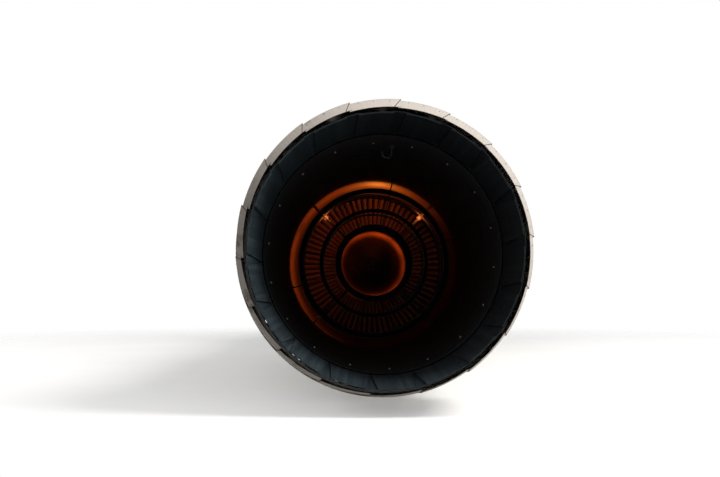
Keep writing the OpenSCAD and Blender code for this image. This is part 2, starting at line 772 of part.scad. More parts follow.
module ab_diffuser() {
    color("silver") station() difference() {
        case(st_abd, exh_r, st_duct, duct_r) {
            for (a = [0:90:270])
                rotate([0, 0, a + 45]) translate([wall_r(spray_z) - 2, 0, spray_z])
                    rotate([0, 90, 0]) cylinder(r = 20, h = feed_top - wall_r(spray_z) + 2);
        }
        for (a = [0:90:270])
            rotate([0, 0, a + 45]) translate([wall_r(spray_z) - 40, 0, spray_z])
                rotate([0, 90, 0]) cylinder(r = feed_bore, h = 100);
        ring(wall_r(spray_z) - 80, wall_r(spray_z - 20), spray_z - 21, spray_z);
    }
}

module spray_rings() {
    color("silver") station() union() {
        for (r = [gutter_r1, gutter_r2, gutter_r3])
            translate([0, 0, spray_z]) rotate_extrude() translate([r, 0]) circle(r = 6);
        for (a = [0:90:270])
            rotate([0, 0, a + 45]) {
                translate([gutter_r1, 0, spray_z]) rotate([0, 90, 0])
                    cylinder(r = feed_r, h = feed_top + 8 - gutter_r1);
                translate([feed_top, 0, spray_z]) rotate([0, 90, 0]) cylinder(r = 20, h = 8);
            }
    }
}

feed_ring_r = feed_top + 8 + 9;
line_x = 60;
module ab_fuel_pipe() {
    color("silver") station() union() {
        translate([0, 0, spray_z]) rotate_extrude() translate([feed_ring_r, 0]) circle(r = 7);
        for (a = [0:90:270])
            rotate([0, 0, a + 45]) translate([feed_top + 8, 0, spray_z])
                rotate([0, 90, 0]) cylinder(r = 12, h = 12);
        pipe([[line_x, -sqrt(feed_ring_r * feed_ring_r - line_x * line_x), spray_z],
            [line_x, -feed_ring_r - 9, spray_z - 60], [line_x, -feed_ring_r - 9, pump_z0 + 330],
            [starter_x + 60, acc_y - 24, pump_z0 + 200],
            [starter_x, acc_y, pump_z0 + 150], [starter_x, acc_y, pump_z0 + 110]], 8);
    }
}

gutter_w = 14;
gutter_d = 58;
gutter_t = 3;
module gutter(r, w) {
    rotate_extrude() polygon([
        [r - w, st_flame], [r - w + gutter_t, st_flame], [r, st_flame - gutter_d + 8],
        [r + w - gutter_t, st_flame], [r + w, st_flame], [r, st_flame - gutter_d]]);
}

module flame_holder() {
    color("gray") station() union() {
        gutter(gutter_r3, gutter_w);
        gutter(gutter_r2, 10.5);
        gutter(gutter_r1, 17.5);
        for (i = [0:5])
            rotate([0, 0, i * 60 + 17]) {
                translate([gutter_r1, -2.5, st_flame - 44]) cube([gutter_r3 - gutter_r1, 5, 26]);
                intersection() {
                    union() {
                        translate([gutter_r3, 0, st_flame - 32]) rotate([0, 90, 0])
                            cylinder(r = 3.5, h = 100);
                        translate([liner_r - 10, 0, st_flame - 32]) rotate([0, 90, 0])
                            cylinder(r = 10, h = 20);
                    }
                    ring(0, liner_r - seat_gap, st_flame - 80, st_flame + 20);
                }
            }
    }
}

liner_t = 2.5;
liner_z0 = st_duct - 36;
stud_z = st_noz - 120;
standoff_pitch = (stud_z - st_duct - 80) / 3;
probe_a = 84;

module ab_liner() {
    color("gray") station() union() {
        ring(liner_r, liner_r + liner_t, liner_z0, st_pin + 2);
        for (k = [0:3])
            ring(liner_r + liner_t / 2, duct_r, stud_z - 8 - k * standoff_pitch,
                stud_z + 8 - k * standoff_pitch);
        for (i = [0:leaves - 1])
            rotate([0, 0, leaf_a + i * pitch_a])
                translate([liner_r - 4, 0, stud_z]) rotate([0, 90, 0]) cylinder(r = 6, h = 8, $fn = 24);
    }
}

module duct_probe() {
    color("silver") station() rotate([0, 0, probe_a]) {
        intersection() {
            translate([liner_r - 12, 0, stud_z - 60]) rotate([0, 90, 0]) cylinder(r = 15, h = 30);
            ring(0, liner_r, stud_z - 100, stud_z);
        }
        pipe([[liner_r - 8, 0, stud_z - 60], [liner_r - 44, 0, stud_z - 60],
            [liner_r - 56, 8, stud_z - 56], [liner_r - 56, 30, stud_z - 50], [liner_r - 46, 40, stud_z - 46],
            [liner_r - 34, 42, stud_z - 46]], 4.5);
        translate([liner_r - 34, 42, stud_z - 46]) sphere(r = 4.5, $fn = 32);
    }
}

mount_z = st_duct + 180;
mount_ring_h = 30;
mount_half = 18;
mount_ring_t = 12;
lug_r = duct_r + 58;
lug_bore = 13;
lug_half = 30;
hanger_half_w = 34;
hanger_bolt_x = 20;
hanger_bolt_y = duct_r + 19;
hanger_bolt_r = 5;
act_ring_z = st_noz - 440;
act_ring_h = 74;

module ab_duct() {
    color("silver") station() difference() {
        case(st_duct, duct_r, st_noz, duct_r) {
            for (z = [300, 600, 860, 1280])
                band(mount_z + z, 8);
            for (z = [mount_z - mount_half - mount_ring_t, mount_z + mount_half])
                ring(duct_r + wall / 2, duct_r + mount_ring_h, z, z + mount_ring_t);
            for (i = [0:actuators - 1])
                rotate([0, 0, act_a(i)]) intersection() {
                    translate([duct_r + wall / 2, -34, act_ring_z - 14]) cube([act_ring_h, 68, 14]);
                    ring(duct_r, duct_r + act_ring_h, act_ring_z - 14, act_ring_z);
                }
            ring(duct_r + wall / 2, duct_r + 24, act_ring_z - 14, act_ring_z);
        }
        for (x = [-hanger_bolt_x, hanger_bolt_x])
            translate([x, hanger_bolt_y, mount_z - 60])
                cylinder(r = hanger_bolt_r + bolt_gap, h = 120, $fn = 24);
    }
}

// lug held between the two mount rings by a pair of cross bolts
module rear_hanger() {
    color("gray") station() difference() {
        union() {
            translate([0, 0, mount_z - mount_half]) linear_extrude(height = 2 * mount_half)
                polygon([[-hanger_half_w, duct_r + wall + 1], [hanger_half_w, duct_r + wall + 1],
                    [hanger_half_w, duct_r + mount_ring_h], [24, lug_r + 4], [-24, lug_r + 4],
                    [-hanger_half_w, duct_r + mount_ring_h]]);
            translate([0, lug_r, mount_z - lug_half]) cylinder(r = 26, h = 2 * lug_half);
            for (x = [-hanger_bolt_x, hanger_bolt_x])
                translate([x, hanger_bolt_y, mount_z]) {
                    translate([0, 0, -mount_half - mount_ring_t - 1])
                        cylinder(r = hanger_bolt_r, h = 2 * (mount_half + mount_ring_t + 1), $fn = 24);
                    for (z = [-mount_half - mount_ring_t - 6, mount_half + mount_ring_t])
                        translate([0, 0, z]) cylinder(r = hanger_bolt_r + 3.5, h = 6, $fn = hex);
                }
        }
        translate([0, lug_r, mount_z - lug_half - 1]) cylinder(r = lug_bore, h = 2 * lug_half + 2);
    }
}

// nozzle

act_first_a = 110;
function act_a(i) = act_first_a + i * 360 / actuators;
act_r = duct_r + 42;
act_body_r = 24;
act_bore = 18;
rod_r = 8;
act_len = 300;

module actuator_at(i) {
    color("silver") station() rotate([0, 0, act_a(i)]) translate([act_r, 0, 0]) difference() {
        union() {
            ring(0, act_body_r, act_ring_z, act_ring_z + act_len);
            ring(0, act_body_r + 5, act_ring_z, act_ring_z + 10);
            ring(0, act_body_r + 3, act_ring_z + act_len - 26, act_ring_z + act_len);
            translate([0, 0, act_ring_z + 50]) rotate([0, 90, 0]) cylinder(r = 8, h = act_body_r + 12);
            translate([0, 0, act_ring_z + act_len - 50]) rotate([0, 90, 0])
                cylinder(r = 8, h = act_body_r + 12);
        }
        ring(0, act_bore, act_ring_z + 14, act_ring_z + act_len - 20);
        ring(0, rod_r + run_gap, act_ring_z + act_len - 30, act_ring_z + act_len + 1);
    }
}

hinge_r0 = pin_circle_r - 14;
hinge_r1 = pin_circle_r + 12;
hinge_back = 16;
pin_r = 6;
knuckle_r = 12;
lug_t = 12;
lug_x = 34;
knuckle_w = 18;
side_gap = 1.2;
knuckle_x = lug_x + lug_t / 2 + side_gap + knuckle_w / 2;
pin_half = knuckle_x + knuckle_w / 2 + 4;

module nozzle_hinge_ring() {
    color("gray") station() union() {
        difference() {
            union() {
                ring(duct_r, duct_r + wall + flange_h, st_noz, st_noz + flange_t);
                ring(duct_r, duct_r + 5, st_noz, st_pin - hinge_back - 18);
                ring(hinge_r0, hinge_r1, st_pin - hinge_back - 20, st_pin - hinge_back);
            }
            bolt_holes(st_noz, duct_r);
        }
        for (i = [0:leaves - 1])
            rotate([0, 0, leaf_a - 90 + i * pitch_a]) translate([0, pin_circle_r, st_pin]) {
                for (s = [-1, 1])
                    translate([s * lug_x - lug_t / 2, 0, 0]) {
                        rotate([0, 90, 0]) cylinder(r = knuckle_r - 1, h = lug_t);
                        translate([0, -knuckle_r + 1, -hinge_back - 1])
                            cube([lug_t, 2 * knuckle_r - 2, hinge_back + 1]);
                    }
                translate([-pin_half, 0, 0]) rotate([0, 90, 0])
                    cylinder(r = pin_r, h = 2 * pin_half, $fn = 48);
                for (s = [-1, 1])
                    translate([s * (pin_half + 1) - 2, 0, 0]) rotate([0, 90, 0])
                        cylinder(r = pin_r + 3, h = 4, $fn = 48);
            }
    }
}

leaf_z0 = 6;
leaf_t = 5;
leaf_in = pin_circle_r - 18;
leaf_tilt = 1.94;
leaf_front_half_w = 84;
strip_t = 3;
strip_gap = 1.3;
strip_front_x = 103;
strip_back_x = 125;
shoe_r = 8;
shoe_half_w = 8;
shoe_h = 22;
cam_half_w = 8;
cam_gap = 1;
ring_r0 = pin_circle_r + 29;
ring_r1 = ring_r0 + 10;
ring_half_w = 14;

function ring_s(t) = ring_open - ring_travel * t;
function cam_path(t) = [
    ring_s(t) * cos(leaf_close * t) - shoe_h * sin(leaf_close * t),
    ring_s(t) * sin(leaf_close * t) + shoe_h * cos(leaf_close * t)];
function cam_dir(t) = cam_path(t + 0.001) - cam_path(t - 0.001);
function cam_normal(t) = [cam_dir(t)[1], -cam_dir(t)[0]] * sign(cam_dir(t)[0]) / norm(cam_dir(t));
function cam_point(t) = cam_path(t) + (shoe_r + cam_gap) * cam_normal(t);

// outline in z and y, extruded along x from x0 to x1
module side(x0, x1, points) {
    translate([x1, 0, 0]) rotate([0, -90, 0]) linear_extrude(height = x1 - x0) polygon(points);
}

plan_h = 600;

// flat plan outline in x and z, cut from a block that is extruded along y
module plan(points) {
    mirror([0, 1, 0]) rotate([90, 0, 0]) translate([0, 0, -plan_h / 2])
        linear_extrude(height = plan_h) polygon(points);
}

module leaf_arc(r0, r1) {
    translate([0, -pin_circle_r, 0]) difference() {
        cylinder(r = r1, h = leaf_len + 20);
        translate([0, 0, -1]) cylinder(r = r0, h = leaf_len + 22);
    }
}

module leaf() {
    difference() {
        union() {
            intersection() {
                rotate([-leaf_tilt, 0, 0]) translate([0, 0, leaf_z0]) leaf_arc(leaf_in, leaf_in + leaf_t);
                plan([[-leaf_front_half_w, leaf_z0], [leaf_front_half_w, leaf_z0],
                    [leaf_half_w, leaf_len], [-leaf_half_w, leaf_len]]);
            }
            intersection() {
                rotate([-leaf_tilt, 0, 0]) translate([0, 0, leaf_z0])
                    leaf_arc(leaf_in + leaf_t + strip_gap, leaf_in + leaf_t + strip_gap + strip_t);
                plan([[leaf_front_half_w - 12, leaf_z0 + 30], [strip_front_x, leaf_z0 + 30],
                    [strip_back_x, leaf_len - 4], [leaf_half_w - 12, leaf_len - 4]]);
            }
            intersection() {
                rotate([-leaf_tilt, 0, 0]) translate([0, 0, leaf_z0])
                    leaf_arc(leaf_in + leaf_t - 1, leaf_in + leaf_t + strip_gap + 1);
                plan([[leaf_front_half_w - 12, leaf_z0 + 30], [leaf_front_half_w - 4, leaf_z0 + 30],
                    [leaf_half_w - 4, leaf_len - 4], [leaf_half_w - 12, leaf_len - 4]]);
            }
            side(-cam_half_w, cam_half_w, concat(
                [[28, -16], [28, 14], [34, cam_point(1)[1] - 1]],
                [for (i = [0:10]) cam_point(1 - i / 10)],
                [[210, 8], [320, 0], [330, -4]]));
            for (s = [-1, 1])
                translate([s * knuckle_x - knuckle_w / 2, 0, 0]) {
                    rotate([0, 90, 0]) cylinder(r = knuckle_r, h = knuckle_w);
                    side(0, knuckle_w, [[0, -11], [9, -17], [60, -16], [60, -11], [9, 8]]);
                }
        }
        translate([-200, 0, 0]) rotate([0, 90, 0]) cylinder(r = pin_r + run_gap, h = 400, $fn = 48);
    }
}

module leaf_at(i) {
    color("gray") station() rotate([0, 0, leaf_a - 90 + i * pitch_a])
        translate([0, pin_circle_r, st_pin]) leaf();
}

module unison_ring() {
    z = st_pin + ring_open;
    color("silver") station() union() {
        ring(ring_r0, ring_r1, z - ring_half_w, z + ring_half_w);
        for (i = [0:leaves - 1])
            rotate([0, 0, leaf_a - 90 + i * pitch_a]) translate([-shoe_half_w, 0, z]) {
                translate([0, pin_circle_r + shoe_h, 0]) rotate([0, 90, 0])
                    cylinder(r = shoe_r, h = 2 * shoe_half_w);
                translate([0, pin_circle_r + shoe_h, -shoe_r]) cube([2 * shoe_half_w, 12, 2 * shoe_r]);
            }
        for (i = [0:actuators - 1])
            rotate([0, 0, act_a(i)]) translate([act_r, 0, 0]) {
                ring(0, rod_r, act_ring_z + act_len - 40, z);
                ring(0, act_bore - run_gap, act_ring_z + act_len - 50, act_ring_z + act_len - 30);
                translate([0, 0, z - ring_half_w]) cylinder(r = rod_r + 3, h = 6);
            }
    }
}

shroud_r = duct_r + 76;
shroud_t = 3;
shroud_len = 172;
web_z = st_noz + flange_t;
petal_z0 = web_z + shroud_len + 4;
petal_tilt = atan((shroud_r + 1 - petal_r) / (st_exit - petal_z0));
petal_turn = 1.7;
petal_t = 3;
petal_rib = 7;
petal_front_half_w = 104;
petal_half_w = 96;
window_r = 22;

module shroud_space() { translate([shroud_dx, shroud_dy, 0]) children(); }

module outer_shroud() {
    color("silver") station() union() {
        difference() {
            shroud_space() ring(0, shroud_r, web_z, web_z + wall);
            ring(0, duct_r + 6, web_z - 1, web_z + wall + 1);
            bolt_holes(web_z, duct_r);
            for (i = [0:actuators - 1])
                rotate([0, 0, act_a(i)]) translate([act_r, 0, web_z - 1])
                    cylinder(r = window_r, h = wall + 2);
            for (i = [0:leaves - 1])
                rotate([0, 0, i * pitch_a + 10]) translate([act_r + 4, 0, web_z - 1])
                    cylinder(r = 9, h = wall + 2, $fn = 32);
        }
        shroud_space() ring(shroud_r - shroud_t, shroud_r, web_z, web_z + shroud_len);
        shroud_space() ring(shroud_r - 6, shroud_r, web_z + shroud_len - 14, web_z + shroud_len);
    }
}

function petal_depth(a) = 17 + shroud_dx * cos(a) + shroud_dy * sin(a);
// the trailing lip slopes outwards, so its outer edge lies ahead of its inner edge
function lip_rise(a) = 0.45 * petal_depth(a);

module petal(a) {
    l = st_exit - petal_z0;
    r = petal_r + l * tan(petal_tilt);
    translate([0, r, petal_z0]) rotate([petal_tilt, 0, 0]) rotate([0, 0, petal_turn]) union() {
        intersection() {
            translate([0, -r, 0]) ring(r - petal_t, r, 0, l - lip_rise(a));
            plan([[-petal_front_half_w, -1], [petal_front_half_w, -1], [petal_half_w + 2, l + 1],
                [-petal_half_w + 4, l + 1]]);
        }
        intersection() {
            translate([0, -r, 0]) rotate_extrude() polygon([
                [r - petal_depth(a), l - 22], [r - 1, l - 22], [r - 1, l - lip_rise(a)],
                [r - petal_depth(a), l]]);
            plan([[-petal_half_w, 0], [petal_half_w, 0], [petal_half_w, l + 1], [-petal_half_w, l + 1]]);
        }
        for (x = [-30, 30])
            intersection() {
                translate([0, -r, 0]) ring(r - petal_rib, r - 1, 4, l - 18);
                plan([[x - 3, 0], [x + 3, 0], [x + 3, l + 1], [x - 3, l + 1]]);
            }
    }
}

module outer_petals() {
    color("tan") station() shroud_space() union() {
        for (i = [0:leaves - 1])
            rotate([0, 0, leaf_a - 90 + i * pitch_a]) petal(leaf_a + i * pitch_a);
        ring(shroud_r, shroud_r + 3, petal_z0 - 20, petal_z0 + 16);
    }
}

// fasteners

module bolt_circle(z, r, front, back) {
    for (i = [0:flange_bolts_n - 1])
        rotate([0, 0, (i + 0.5) * 360 / flange_bolts_n]) translate([r + wall + bolt_off, 0, z]) {
            translate([0, 0, -front - bolt_head_h])
                cylinder(r = bolt_head_r, h = bolt_head_h, $fn = hex);
            translate([0, 0, -front - 1]) cylinder(r = bolt_r, h = front + back + 2, $fn = 24);
            translate([0, 0, back]) cylinder(r = bolt_head_r - 1, h = bolt_head_h);
        }
}

module flange_bolts() {
    color("gray") station() union() {
        bolt_circle(st_front, inlet_r, flange_t, flange_t);
        bolt_circle(st_mid, mid_r, flange_t, flange_t);
        bolt_circle(st_core, core_r, flange_t, flange_t);
        bolt_circle(st_diff, diff_r, flange_t, flange_t);
        bolt_circle(st_comb, comb_r, flange_t, flange_t);
        bolt_circle(st_turb, comb_r, flange_t, flange_t);
        bolt_circle(st_exh, exh_r, flange_t, flange_t);
        bolt_circle(st_abd, exh_r, flange_t, flange_t);
        bolt_circle(st_duct, duct_r, flange_t, flange_t);
        bolt_circle(st_noz, duct_r, flange_t, flange_t + wall);
    }
}

inlet_case();
nose_cone();
front_compressor_rotor();
inner_shaft();
front_compressor_case();
front_stator_vanes();
intermediate_case();
radial_drive_shaft();
gearbox();
starter();
fuel_pump();
oil_pump();
oil_tank();
core_compressor_rotor();
core_compressor_case();
diffuser_case();
fuel_manifold();
combustion_case();
combustor_cans();
inner_case();
turbine_case();
turbine_vanes();
core_turbine_rotor();
rear_turbine_rotor();
exhaust_case();
exhaust_cone();
ab_diffuser();
spray_rings();
ab_fuel_pipe();
flame_holder();
ab_liner();
duct_probe();
ab_duct();
rear_hanger();
actuator_at(0);  // actuator_1
actuator_at(1);  // actuator_2
actuator_at(2);  // actuator_3
nozzle_hinge_ring();
unison_ring();
outer_shroud();
outer_petals();
flange_bolts();
leaf_at(0);  // leaf_01
leaf_at(1);  // leaf_02
leaf_at(2);  // leaf_03
leaf_at(3);  // leaf_04
leaf_at(4);  // leaf_05
leaf_at(5);  // leaf_06
leaf_at(6);  // leaf_07
leaf_at(7);  // leaf_08
leaf_at(8);  // leaf_09
leaf_at(9);  // leaf_10
leaf_at(10);  // leaf_11
leaf_at(11);  // leaf_12
leaf_at(12);  // leaf_13
leaf_at(13);  // leaf_14
leaf_at(14);  // leaf_15
leaf_at(15);  // leaf_16
leaf_at(16);  // leaf_17
leaf_at(17);  // leaf_18
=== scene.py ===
# %% [markdown]
# # A jet engine with an afterburner and a variable nozzle
# The solids of the engine come packed from the drawing office, one mesh for each real piece.
# This lesson gives them their metal: brushed steel, temper colours, soot, scratches and rivets.
# First we load the solids. Nothing we add may change it.

# %% Load the frame
import json
import math

import bmesh
import bpy
from mathutils import Matrix, Vector


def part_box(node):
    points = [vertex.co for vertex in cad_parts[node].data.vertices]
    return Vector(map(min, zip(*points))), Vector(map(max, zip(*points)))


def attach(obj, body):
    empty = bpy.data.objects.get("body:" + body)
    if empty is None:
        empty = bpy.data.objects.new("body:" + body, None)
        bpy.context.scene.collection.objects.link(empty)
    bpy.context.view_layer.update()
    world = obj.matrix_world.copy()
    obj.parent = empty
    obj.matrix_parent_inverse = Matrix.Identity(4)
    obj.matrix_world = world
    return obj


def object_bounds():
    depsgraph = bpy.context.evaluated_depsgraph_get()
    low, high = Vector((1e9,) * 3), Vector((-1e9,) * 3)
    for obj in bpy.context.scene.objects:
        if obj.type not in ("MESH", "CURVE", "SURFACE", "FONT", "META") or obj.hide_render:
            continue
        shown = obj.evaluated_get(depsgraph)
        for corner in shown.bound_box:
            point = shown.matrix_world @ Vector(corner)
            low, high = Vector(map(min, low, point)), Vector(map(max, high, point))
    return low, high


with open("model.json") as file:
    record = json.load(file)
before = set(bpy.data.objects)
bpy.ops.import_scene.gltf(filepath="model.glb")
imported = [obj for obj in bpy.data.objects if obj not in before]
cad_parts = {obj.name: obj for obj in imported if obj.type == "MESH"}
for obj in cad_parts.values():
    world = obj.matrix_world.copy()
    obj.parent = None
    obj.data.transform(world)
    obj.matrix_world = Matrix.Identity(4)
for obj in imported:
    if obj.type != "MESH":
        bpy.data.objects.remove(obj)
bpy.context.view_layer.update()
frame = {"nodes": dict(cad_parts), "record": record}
nodes = frame["nodes"]
bpy.context.scene.view_settings.view_transform = "Standard"

# %% [markdown]
# The engine lies along Y with its nozzle towards -Y. A station is a distance behind the inlet
# flange, so station s is the plane y = -s. The planes that the later cells need are read from
# the boxes of the pieces, so that they follow the solids.

# %% Stations and radii of the engine
def back_of(node):
    return -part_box(node)[0].y


def front_of(node):
    return -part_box(node)[1].y


def outer_radius(node):
    low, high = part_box(node)
    return (high.x - low.x) / 2


leaf_names = sorted(name for name in nodes if name.startswith("leaf_"))
exit_station = back_of(leaf_names[0])
duct_front, duct_back = front_of("ab_duct"), back_of("ab_duct")
flame_station = back_of("flame_holder")
cone_base = front_of("exhaust_cone")
shroud_low, shroud_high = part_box("outer_shroud")
shroud_centre = ((shroud_low.x + shroud_high.x) / 2, (shroud_low.z + shroud_high.z) / 2)
leaf_turn = 94.0  # degrees round from +X of the first leaf
print("exit at", round(exit_station, 3), "flame holder at", round(flame_station, 3))

# %% [markdown]
# The camera stands behind the nozzle, a little left of and below the axis, and looks slightly up.
# A 50 mm lens on a 36 mm sensor gives the narrow view of the photograph. Its distance follows
# from how much smaller the deep rings of the jet pipe appear than the nozzle's edge.

# %% Camera
camera_back = 3.68
camera_right, camera_up = -0.135, -0.14
camera_pitch, camera_turn = math.radians(2.83), math.radians(-0.58)

camera_data = bpy.data.cameras.new("camera")
camera_data.lens = 50
camera_data.sensor_width = 36
camera_data.clip_end = 200
camera = bpy.data.objects.new("camera", camera_data)
camera.location = (camera_right, -exit_station - camera_back, camera_up)
camera.rotation_euler = (math.pi / 2 + camera_pitch, 0, camera_turn)
bpy.context.scene.collection.objects.link(camera)
bpy.context.scene.camera = camera
print("camera at", [round(v, 3) for v in camera.location])

# %% [markdown]
# Materials are node trees. Three small helpers keep them short: one adds a node and fills its
# sockets, one does arithmetic, one makes a ramp of colours.

# %% Helpers for node trees
def add(tree, kind, sockets=(), **settings):
    node = tree.nodes.new(kind)
    for name, value in settings.items():
        setattr(node, name, value)
    for name, value in dict(sockets).items():
        if isinstance(value, bpy.types.NodeSocket):
            tree.links.new(value, node.inputs[name])
        else:
            node.inputs[name].default_value = value
    return node


def maths(tree, operation, a, b=0.5, clamp=False):
    node = add(tree, "ShaderNodeMath", {0: a, 1: b}, operation=operation, use_clamp=clamp)
    return node.outputs[0]


def ramp(tree, value, stops):
    node = add(tree, "ShaderNodeValToRGB", {"Fac": value})
    elements = node.color_ramp.elements
    while len(elements) < len(stops):
        elements.new(0.5)
    for element, (place, colour) in zip(elements, stops):
        element.position = place
        element.color = (*colour, 1) if not isinstance(colour, float) else (colour,) * 3 + (1,)
    return node.outputs["Color"]


def blend(tree, amount, a, b, way="MIX"):
    node = add(tree, "ShaderNodeMix", data_type="RGBA", blend_type=way)
    for index, value in ((0, amount), (6, a), (7, b)):
        if isinstance(value, bpy.types.NodeSocket):
            tree.links.new(value, node.inputs[index])
        else:
            node.inputs[index].default_value = value if index == 0 else (*value, 1)
    return node.outputs[2]


def new_group(name, inputs, outputs):
    tree = bpy.data.node_groups.new(name, "ShaderNodeTree")
    for label, kind, value in inputs:
        socket = tree.interface.new_socket(label, in_out="INPUT", socket_type=kind)
        if value is not None:
            socket.default_value = value
    for label, kind in outputs:
        tree.interface.new_socket(label, in_out="OUTPUT", socket_type=kind)
    given = tree.nodes.new("NodeGroupInput")
    result = tree.nodes.new("NodeGroupOutput")
    return tree, given.outputs, result.inputs


def use(tree, group, sockets):
    node = tree.nodes.new("ShaderNodeGroup")
    node.node_tree = group
    for name, value in sockets.items():
        if isinstance(value, bpy.types.NodeSocket):
            tree.links.new(value, node.inputs[name])
        else:
            node.inputs[name].default_value = value
    return node


FLOAT, VECTOR, COLOUR = "NodeSocketFloat", "NodeSocketVector", "NodeSocketColor"

# %% [markdown]
# Almost every piece of the engine is turned or rolled, so its marks run round the axis. The
# first shared effect works out round coordinates from the object's own: how far round, how far
# out and how far along. Everything else builds on these three numbers.

# %% Round coordinates
round_tree, given, result = new_group(
    "round_coordinates", [("Position", VECTOR, None)],
    [("Turn", FLOAT), ("Radius", FLOAT), ("Station", FLOAT), ("Wrapped", VECTOR)])
split = add(round_tree, "ShaderNodeSeparateXYZ", {"Vector": given["Position"]})
turn = maths(round_tree, "ARCTAN2", split.outputs["Z"], split.outputs["X"])
across = maths(round_tree, "MULTIPLY", split.outputs["X"], split.outputs["X"])
upward = maths(round_tree, "MULTIPLY", split.outputs["Z"], split.outputs["Z"])
radius = maths(round_tree, "SQRT", maths(round_tree, "ADD", across, upward))
station = maths(round_tree, "MULTIPLY", split.outputs["Y"], -1.0)
wrapped = add(round_tree, "ShaderNodeCombineXYZ", {
    "X": maths(round_tree, "COSINE", turn), "Y": station, "Z": maths(round_tree, "SINE", turn)})
for name, value in (("Turn", turn), ("Radius", radius), ("Station", station),
                    ("Wrapped", wrapped.outputs[0])):
    round_tree.links.new(value, result[name])
print("round coordinates:", len(round_tree.nodes), "nodes")

# %% [markdown]
# Turned and brushed metal shows fine lines. They are noise that is squeezed along one direction:
# lines round the axis come from squeezing along it, and lines along the axis from squeezing
# round it. One group makes both, with an input that says which.

# %% Brushed lines
brushed_tree, given, result = new_group(
    "brushed_lines",
    [("Position", VECTOR, None), ("Round", FLOAT, 1.0), ("Fineness", FLOAT, 300.0)],
    [("Lines", FLOAT)])
around = use(brushed_tree, round_tree, {"Position": given["Position"]})
fine = given["Fineness"]
coarse = maths(brushed_tree, "MULTIPLY", fine, 0.012)
ring_share = given["Round"]
along_scale = maths(brushed_tree, "ADD", maths(brushed_tree, "MULTIPLY", fine, ring_share),
                    maths(brushed_tree, "MULTIPLY", coarse, maths(brushed_tree, "SUBTRACT", 1.0, ring_share)))
round_scale = maths(brushed_tree, "ADD", maths(brushed_tree, "MULTIPLY", coarse, ring_share),
                    maths(brushed_tree, "MULTIPLY", fine, maths(brushed_tree, "SUBTRACT", 1.0, ring_share)))
pull = add(brushed_tree, "ShaderNodeCombineXYZ", {"X": round_scale, "Y": along_scale, "Z": round_scale})
stretched = add(brushed_tree, "ShaderNodeVectorMath",
                {0: around.outputs["Wrapped"], 1: pull.outputs[0]}, operation="MULTIPLY")
lines = add(brushed_tree, "ShaderNodeTexNoise",
            {"Vector": stretched.outputs[0], "Scale": 1.0, "Detail": 3.0, "Roughness": 0.6})
brushed_tree.links.new(lines.outputs["Fac"], result["Lines"])
print("brushed lines:", len(brushed_tree.nodes), "nodes")

# %% [markdown]
# Grime gathers in patches of all sizes. Two noises, one broad and one fine, are multiplied and
# pushed through a narrow range, so that it has soft edges and clean places between.

# %% Grime
grime_tree, given, result = new_group(
    "grime", [("Position", VECTOR, None), ("Size", FLOAT, 6.0), ("Amount", FLOAT, 0.5)],
    [("Mask", FLOAT), ("Fine", FLOAT)])
broad = add(grime_tree, "ShaderNodeTexNoise",
            {"Vector": given["Position"], "Scale": given["Size"], "Detail": 6.0, "Roughness": 0.62})
small = add(grime_tree, "ShaderNodeTexNoise",
            {"Vector": given["Position"], "Scale": maths(grime_tree, "MULTIPLY", given["Size"], 9.0),
             "Detail": 4.0, "Roughness": 0.7})
mixed = maths(grime_tree, "ADD", maths(grime_tree, "MULTIPLY", broad.outputs["Fac"], 0.72),
              maths(grime_tree, "MULTIPLY", small.outputs["Fac"], 0.28))
start = maths(grime_tree, "SUBTRACT", 0.72, maths(grime_tree, "MULTIPLY", given["Amount"], 0.36))
mask = add(grime_tree, "ShaderNodeMapRange",
           {"Value": mixed, "From Min": start, "From Max": maths(grime_tree, "ADD", start, 0.16)})
grime_tree.links.new(mask.outputs["Result"], result["Mask"])
grime_tree.links.new(small.outputs["Fac"], result["Fine"])
print("grime:", len(grime_tree.nodes), "nodes")

# %% [markdown]
# Scratches are thin bright lines at odd angles. The distance to the edge of long Voronoi cells
# is small only along lines, so a narrow range of it leaves hairlines; noise breaks them up.

# %% Scratches
scratch_tree, given, result = new_group(
    "scratches", [("Position", VECTOR, None), ("Scale", FLOAT, 22.0), ("Width", FLOAT, 0.02)],
    [("Mask", FLOAT)])
wander = add(scratch_tree, "ShaderNodeTexNoise", {"Vector": given["Position"], "Scale": 5.0, "Detail": 2.0})
moved = add(scratch_tree, "ShaderNodeVectorMath",
            {0: given["Position"], 1: wander.outputs["Color"]}, operation="ADD")
slanted = add(scratch_tree, "ShaderNodeMapping",
              {"Vector": moved.outputs[0], "Rotation": (0.5, 0.9, 0.3), "Scale": (1.0, 0.22, 0.7)})
cells = add(scratch_tree, "ShaderNodeTexVoronoi",
            {"Vector": slanted.outputs[0], "Scale": given["Scale"]}, feature="DISTANCE_TO_EDGE")
thin = add(scratch_tree, "ShaderNodeMapRange",
           {"Value": cells.outputs["Distance"], "From Min": given["Width"], "From Max": 0.0})
broken = add(scratch_tree, "ShaderNodeTexNoise", {"Vector": given["Position"], "Scale": 40.0, "Detail": 2.0})
gate = add(scratch_tree, "ShaderNodeMapRange",
           {"Value": broken.outputs["Fac"], "From Min": 0.5, "From Max": 0.6})
scratch_tree.links.new(maths(scratch_tree, "MULTIPLY", thin.outputs["Result"], gate.outputs["Result"]),
                       result["Mask"])
print("scratches:", len(scratch_tree.nodes), "nodes")

# %% [markdown]
# Steel that has been hot shows temper colours: straw, bronze, purple and blue, in that order,
# and dull grey-brown past them. One ramp holds them, and each material says how hot it was.

